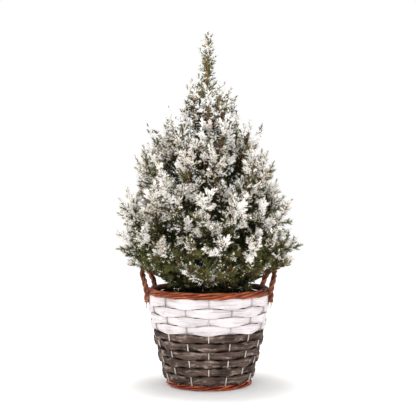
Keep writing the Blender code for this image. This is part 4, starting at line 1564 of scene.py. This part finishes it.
def needle_shoot(shoot, kinds):
    """Sets needles spirally along a shoot and round its tip, and deals them out by kind."""
    count = max(FEWEST_NEEDLES, int(shoot.length / NEEDLE_PITCH))
    share = (np.arange(count) + rng.random(count)) / count
    feet = shoot.at(share)
    forward = shoot.forward(share)
    side, up = across_shoot(forward)
    turn = GOLDEN_ANGLE * np.arange(count) + rng.normal(0, TURN_SCATTER, count)
    radial = side * np.cos(turn)[:, None] + up * np.sin(turn)[:, None]
    near_tip = np.clip(1 - (1 - share) * shoot.length / TUFT_LENGTH, 0, 1)
    angle = mix(NEEDLE_ANGLE_AT_BASE, NEEDLE_ANGLE_AT_TIP, near_tip) * (1 - 0.2 * share)
    angle = np.maximum(angle + rng.normal(0, ANGLE_SCATTER, count), LEAST_ANGLE)
    directions = unit(forward * np.cos(angle)[:, None] + radial * np.sin(angle)[:, None])
    lengths = NEEDLE_LENGTH * rng.uniform(*LENGTH_SCATTER, count) * (1 - SHORTER_AT_TIP * near_tip)
    depth = np.repeat(depth_of(*feet[::3].T), 3)[:count]
    outward = unit(feet * (1, 1, 0) + (0, 0, 1e-6))
    facing = (radial * (FACING_OUT * outward + (0, 0, FACING_UP))).sum(1)
    tips = feet + directions * lengths[:, None]
    clear = (np.abs(tips[:, 0]) < HANDLE_VIEW_FROM) | (tips[:, 2] > lowest_beside_handles(tips[:, 0]))
    frosted = rng.random(count) < frost_odds(shoot, share, feet, facing, near_tip, depth)
    bare_kept = np.where(depth > DARK_DEPTH, DEEP_KEPT, 1.0)
    kept = clear & (rng.random(count) < np.where(frosted, FROSTED_KEPT, bare_kept))
    kept &= rng.random(count) < np.interp(feet[:, 2], *KEPT_BY_HEIGHT)
    frosted &= kept
    # Bright frost or frost darkened as painted shade: needles facing up and out get the bright kind more
    # often, as painted light
    kind = "laden" if shoot.is_laden else "bright" if shoot.bright else "dull"
    bright = rng.random(count) < BRIGHT_ODDS[kind] + BRIGHT_BY_FACING * facing
    bare = kept & ~frosted
    low_or_olive = (feet[:, 2] < HIGH_UP) | (shoot.tone == 2)
    olive = bare & (near_tip > OLIVE_TUFT) & (depth < DARK_DEPTH) & low_or_olive
    dark = bare & ~olive & (depth > DARK_DEPTH)
    is_high = shoot.end[2] > HIGH_UP
    frosted_thickness = FROSTED_THICKNESS * (FROSTED_THICKER if is_high else 1.0)
    thickness = NEEDLE_THICKNESS * (BARE_THICKER if is_high else 1.0)
    dealt = (
        ("bright_frost", frosted & bright, FROSTED_LENGTH, frosted_thickness),
        ("dull_frost", frosted & ~bright, FROSTED_LENGTH, frosted_thickness),
        ("olive", olive, 1.0, thickness),
        ("dark", dark, 1.0, NEEDLE_THICKNESS * DARK_THICKER),
        (("dark", "green", "olive")[shoot.tone], bare & ~olive & ~dark, 1.0, thickness),
    )
    for name, chosen, length_share, width in dealt:
        kinds[name].add(feet[chosen], directions[chosen], lengths[chosen] * length_share, width)


def needle_pieces(kind, needles, masses):
    """Pieces of needles of one kind, each under the largest piece's size."""
    name = f"{kind}_needles"
    points, triangles = needles.spikes(FROSTED_SWELL if kind.endswith("frost") else 0)
    points = points[np.argsort(points[:, -1, 2], kind="stable")]
    chunks = math.ceil(len(points) * triangles.shape[1] / LARGEST_PIECE)
    for number, part in enumerate(np.array_split(points, chunks)):
        label = f"{name}_{number + 1}" if chunks > 1 else name
        faces = triangles[:len(part)].reshape(-1, 3)
        surface = needle_surfaces[kind]
        mesh_piece(label, part.reshape(-1, 3), faces, surface, masses, smooth=False)


# Snow


def load_with_snow(shoots, draw):
    """Picks out the shoots under clumps of snow: where the photo shows them, and here and there elsewhere."""
    middles = np.array([shoot.at(LADEN_AT) for shoot in shoots])
    spread = 1 + middles[:, 1] / CAMERA_PLACE[1]
    places = []
    for x, z, size in FRONT_CLUMPS:
        beside = np.hypot(middles[:, 0] / spread - x, middles[:, 2] - z)
        behind = middles[:, 1] + BESIDE_COUNTS * np.maximum(beside - CLUMP_NEARNESS, 0)
        places.append((middles[np.argmin(behind)], size))
    low, high = OTHER_CLUMP_HEIGHTS
    outer = [
        shoot.at(LADEN_AT) for shoot in shoots
        if depth_in_crown(shoot.end) < OTHER_CLUMP_DEPTH
        and low < shoot.end[2] < high
        and shoot.end[1] > OTHER_CLUMPS_BEHIND
    ]
    places += [(place, draw.uniform(*OTHER_CLUMP_SIZES)) for place in draw.sample(outer, OTHER_CLUMPS)]
    for place, size in places:
        away = (middles - place - (0, 0, CLUMP_LIFT)) * (1, 1, HEIGHT_COUNTS)
        for i in np.flatnonzero(np.linalg.norm(away, axis=1) < CLUMP_REACH * size):
            shoots[i].is_laden = True


def balls_of_snow(shoots, draw):
    """Centres and radii of the balls along the shoots: thick on laden ones, and small dabs on others."""
    centres, sizes = [], []
    for shoot in shoots:
        share = DAB_SHARES[int(shoot.end[2] > HIGH_UP)]
        is_open = shoot.frost > DAB_FROST and depth_in_crown(shoot.end) < DAB_DEPTH
        is_dabbed = is_open and draw.random() < share * shoot.frost
        if not (shoot.is_laden or is_dabbed):
            continue
        steps = max(2, int(shoot.length / BALL_SPACING))
        size = draw.uniform(*(LUMP_BALLS if shoot.is_laden else DAB_BALLS))
        first, last = draw.uniform(*LUMP_STARTS), draw.uniform(*LUMP_ENDS)
        for k in range(steps):
            at = shoot.at(mix(first, last, k / (steps - 1))) + np.array((0, 0, 0.5 * size))
            centres.append(at + rng.normal(0, BALL_SCATTER, 3))
            sizes.append(size * draw.uniform(*BALL_SIZES))
    return np.array(centres), np.array(sizes)


def snow_piece(shoots, masses, draw):
    """Dabs and clumps of snow, fused where they touch."""
    centres, sizes = balls_of_snow(shoots, draw)
    ball_points, ball_triangles = icosphere(2)
    points = centres[:, None] + ball_points[None] * (1.0, 1.0, BALL_HEIGHT) * sizes[:, None, None]
    triangles = ball_triangles[None] + len(ball_points) * np.arange(len(centres))[:, None, None]
    made = mesh_piece("snow", points.reshape(-1, 3), triangles.reshape(-1, 3), snow, masses)
    remesh = made.modifiers.new("Fuse", "REMESH")
    remesh.mode = "VOXEL"
    remesh.voxel_size = SNOW_VOXEL
    remesh.use_smooth_shade = True
    graph = bpy.context.evaluated_depsgraph_get()
    fused = bpy.data.meshes.new_from_object(made.evaluated_get(graph))
    made.modifiers.clear()
    made.data = fused


# Wood of the plant


def stem_kind(limb):
    if limb.name == "leader":
        return "golden"
    return "new" if limb.tip.z > RED_STEMS_ABOVE else "old"


def twig_kind(shoot, depth):
    """Which wood a shoot has, by height, depth and chance."""
    if shoot.start[2] > GOLDEN_ABOVE:
        return "golden"
    return "new" if depth < NEW_TWIG_DEPTH and rng.random() < NEW_TWIG_SHARE else "old"


def twig_pieces(limbs, shoots, masses):
    """Stems and shoots as thin tubes: older ones brown, this year's orange-brown, the finest green-brown."""
    twigs = {kind: [] for kind in twig_surfaces}
    for limb in limbs:
        line = limb.stretch(limb.bough_share, STEM_END, 14)
        path = np.array(line if limb.bough_share else [limb.foot] + line)
        radii = np.linspace(STEM_RADIUS, STEM_TIP_RADIUS, len(path)) * (1 + relief(path, 0.006, 0.25))
        twigs[stem_kind(limb)].append(tube(path, radii, 7))
    for shoot in shoots:
        depth = depth_in_crown(shoot.end)
        if shoot.is_stem or (shoot.is_side and depth > LAST_SIDE_TWIG_DEPTH):
            continue
        kind = twig_kind(shoot, depth)
        if shoot.is_side:
            path = shoot.at(np.linspace(0, TWIG_END, 2))
            twigs["side"].append(tube(path, (shoot.radius, TWIG_TIP_RADIUS), 3))
        else:
            # These twigs are flattened: their section runs from thick to thin round its five sides
            sides = 5
            end = TWIG_END if shoot.end[2] < SHORT_TWIGS_ABOVE else SHORT_TWIG_END
            path = shoot.at(np.linspace(0, end, sides))
            section = np.linspace(shoot.radius, TWIG_TIP_RADIUS, sides)
            twigs[kind].append(tube(path, np.tile(section, (sides, 1)), sides))
    for kind, parts in twigs.items():
        points, triangles = joined(parts)
        mesh_piece(f"{kind}_twigs", points, triangles, twig_surfaces[kind], masses)


def woody_limb(points, radii, sides, scale):
    """Tube with the relief of scaly bark: plates parted by furrows."""
    path = even_path(np.array(points), len(points))
    radii = np.asarray(radii)[:, None]
    flat = (path[:, None] + ring_directions(path, sides) * radii[..., None]).reshape(-1, 3)
    stretched = flat * (1, 1, BARK_STRETCH)
    amount, finer = FINE_PLATES
    plates = np.abs(relief(stretched, scale, 1.0))
    plates += amount * np.abs(relief(stretched, scale / finer, 1.0, 9.0))
    depth = radii * BARK_RELIEF * (np.clip(plates, 0, FLAT_PLATES).reshape(len(path), sides) - BARK_LEVEL)
    return tube(path, radii + depth, sides)


def trunk_and_boughs(limbs):
    heights = np.linspace(TRUNK_FOOT, TRUNK_TOP, 170)
    path = [trunk_axis(height) for height in heights]
    radii = [trunk_radius(height) for height in heights]
    points, triangles = woody_limb(path, radii, 28, 0.0035)
    mesh_piece("barky_trunk", points, triangles, bark, ("trunk",))
    parts, nodes = [], []
    for limb in limbs:
        if limb.bough_share:
            path = [limb.foot] + limb.stretch(0, limb.bough_share, 26)
            radii = np.linspace(BOUGH_RADIUS, BOUGH_TIP_RADIUS, len(path))
            parts.append(woody_limb(path, radii, 14, 0.0025))
            nodes.append(f"bough_{limb.name}")
    points, triangles = joined(parts)
    mesh_piece("barky_boughs", points, triangles, bark, nodes)


def plant():
    draw = random.Random(SEED)
    limbs = grow_limbs(draw)
    space = fill_crown(limbs, draw)
    masses = [f"mass_{limb.name}" for limb in limbs]
    trunk_and_boughs(limbs)
    branches = side_branches(limbs, draw)
    for branch in branches:
        take_up_end_spray(branch, space)
    limbs += branches
    fill_further(limbs, space, draw)
    fill_hollows(limbs, space, draw)
    shoots = all_shoots(limbs, draw)
    load_with_snow(shoots, draw)
    twig_pieces(limbs, shoots, masses)
    kinds = {kind: Needles() for kind in needle_surfaces}
    for shoot in shoots:
        needle_shoot(shoot, kinds)
    for kind, needles in kinds.items():
        needle_pieces(kind, needles, masses)
    snow_piece(shoots, masses, draw)


# Stage, light and camera


def placed(name, data, location):
    """Object that holds this mesh, light or camera, put into the scene."""
    made = bpy.data.objects.new(name, data)
    made.location = location
    bpy.context.scene.collection.objects.link(made)
    return made


def aimed(name, data, location, target):
    """The same, turned to look at a target."""
    made = placed(name, data, location)
    made.rotation_euler = (Vector(target) - Vector(location)).to_track_quat("-Z", "Y").to_euler()
    return made


def floor():
    surface = Surface("plain_floor", 0.9, 0.0)
    surface.shader.inputs["Base Color"].default_value = (0.955, 0.955, 0.955, 1)
    surface.shader.inputs["Emission Color"].default_value = (1, 1, 1, 1)
    surface.shader.inputs["Emission Strength"].default_value = 0.035
    mesh = bpy.data.meshes.new("floor")
    reach = 6.0
    corners = [(-reach, -reach, 0), (reach, -reach, 0), (reach, reach, 0), (-reach, reach, 0)]
    mesh.from_pydata(corners, [], [(0, 1, 2, 3)])
    mesh.materials.append(surface.material)
    made = placed("floor", mesh, (0, 0, -0.0004))


def area_light(name, place, target, size, power):
    light = bpy.data.lights.new(name, "AREA")
    light.shape = "DISK"
    light.size = size
    light.energy = power
    light.color = WARM_WHITE
    aimed(name, light, place, target)


def studio():
    world = bpy.data.worlds.new("studio")
    world.use_nodes = True
    background = world.node_tree.nodes["Background"]
    background.inputs["Color"].default_value = (1, 1, 1, 1)
    background.inputs["Strength"].default_value = 1.0
    bpy.context.scene.world = world
    area_light("key", (-0.10, 0.15, 2.0), (0, 0, 0.2), 0.9, 24)
    area_light("fill", (-0.5, -1.7, 0.9), (0, 0, 0.25), 0.8, 5)
    bpy.context.scene.view_settings.view_transform = "Standard"
    bpy.context.scene.view_settings.look = "None"


def camera():
    data = bpy.data.cameras.new("camera")
    data.lens = LENS
    data.sensor_width = SENSOR
    bpy.context.scene.camera = aimed("camera", data, CAMERA_PLACE, CAMERA_AIM)


basket()
plant()
floor()
studio()
camera()
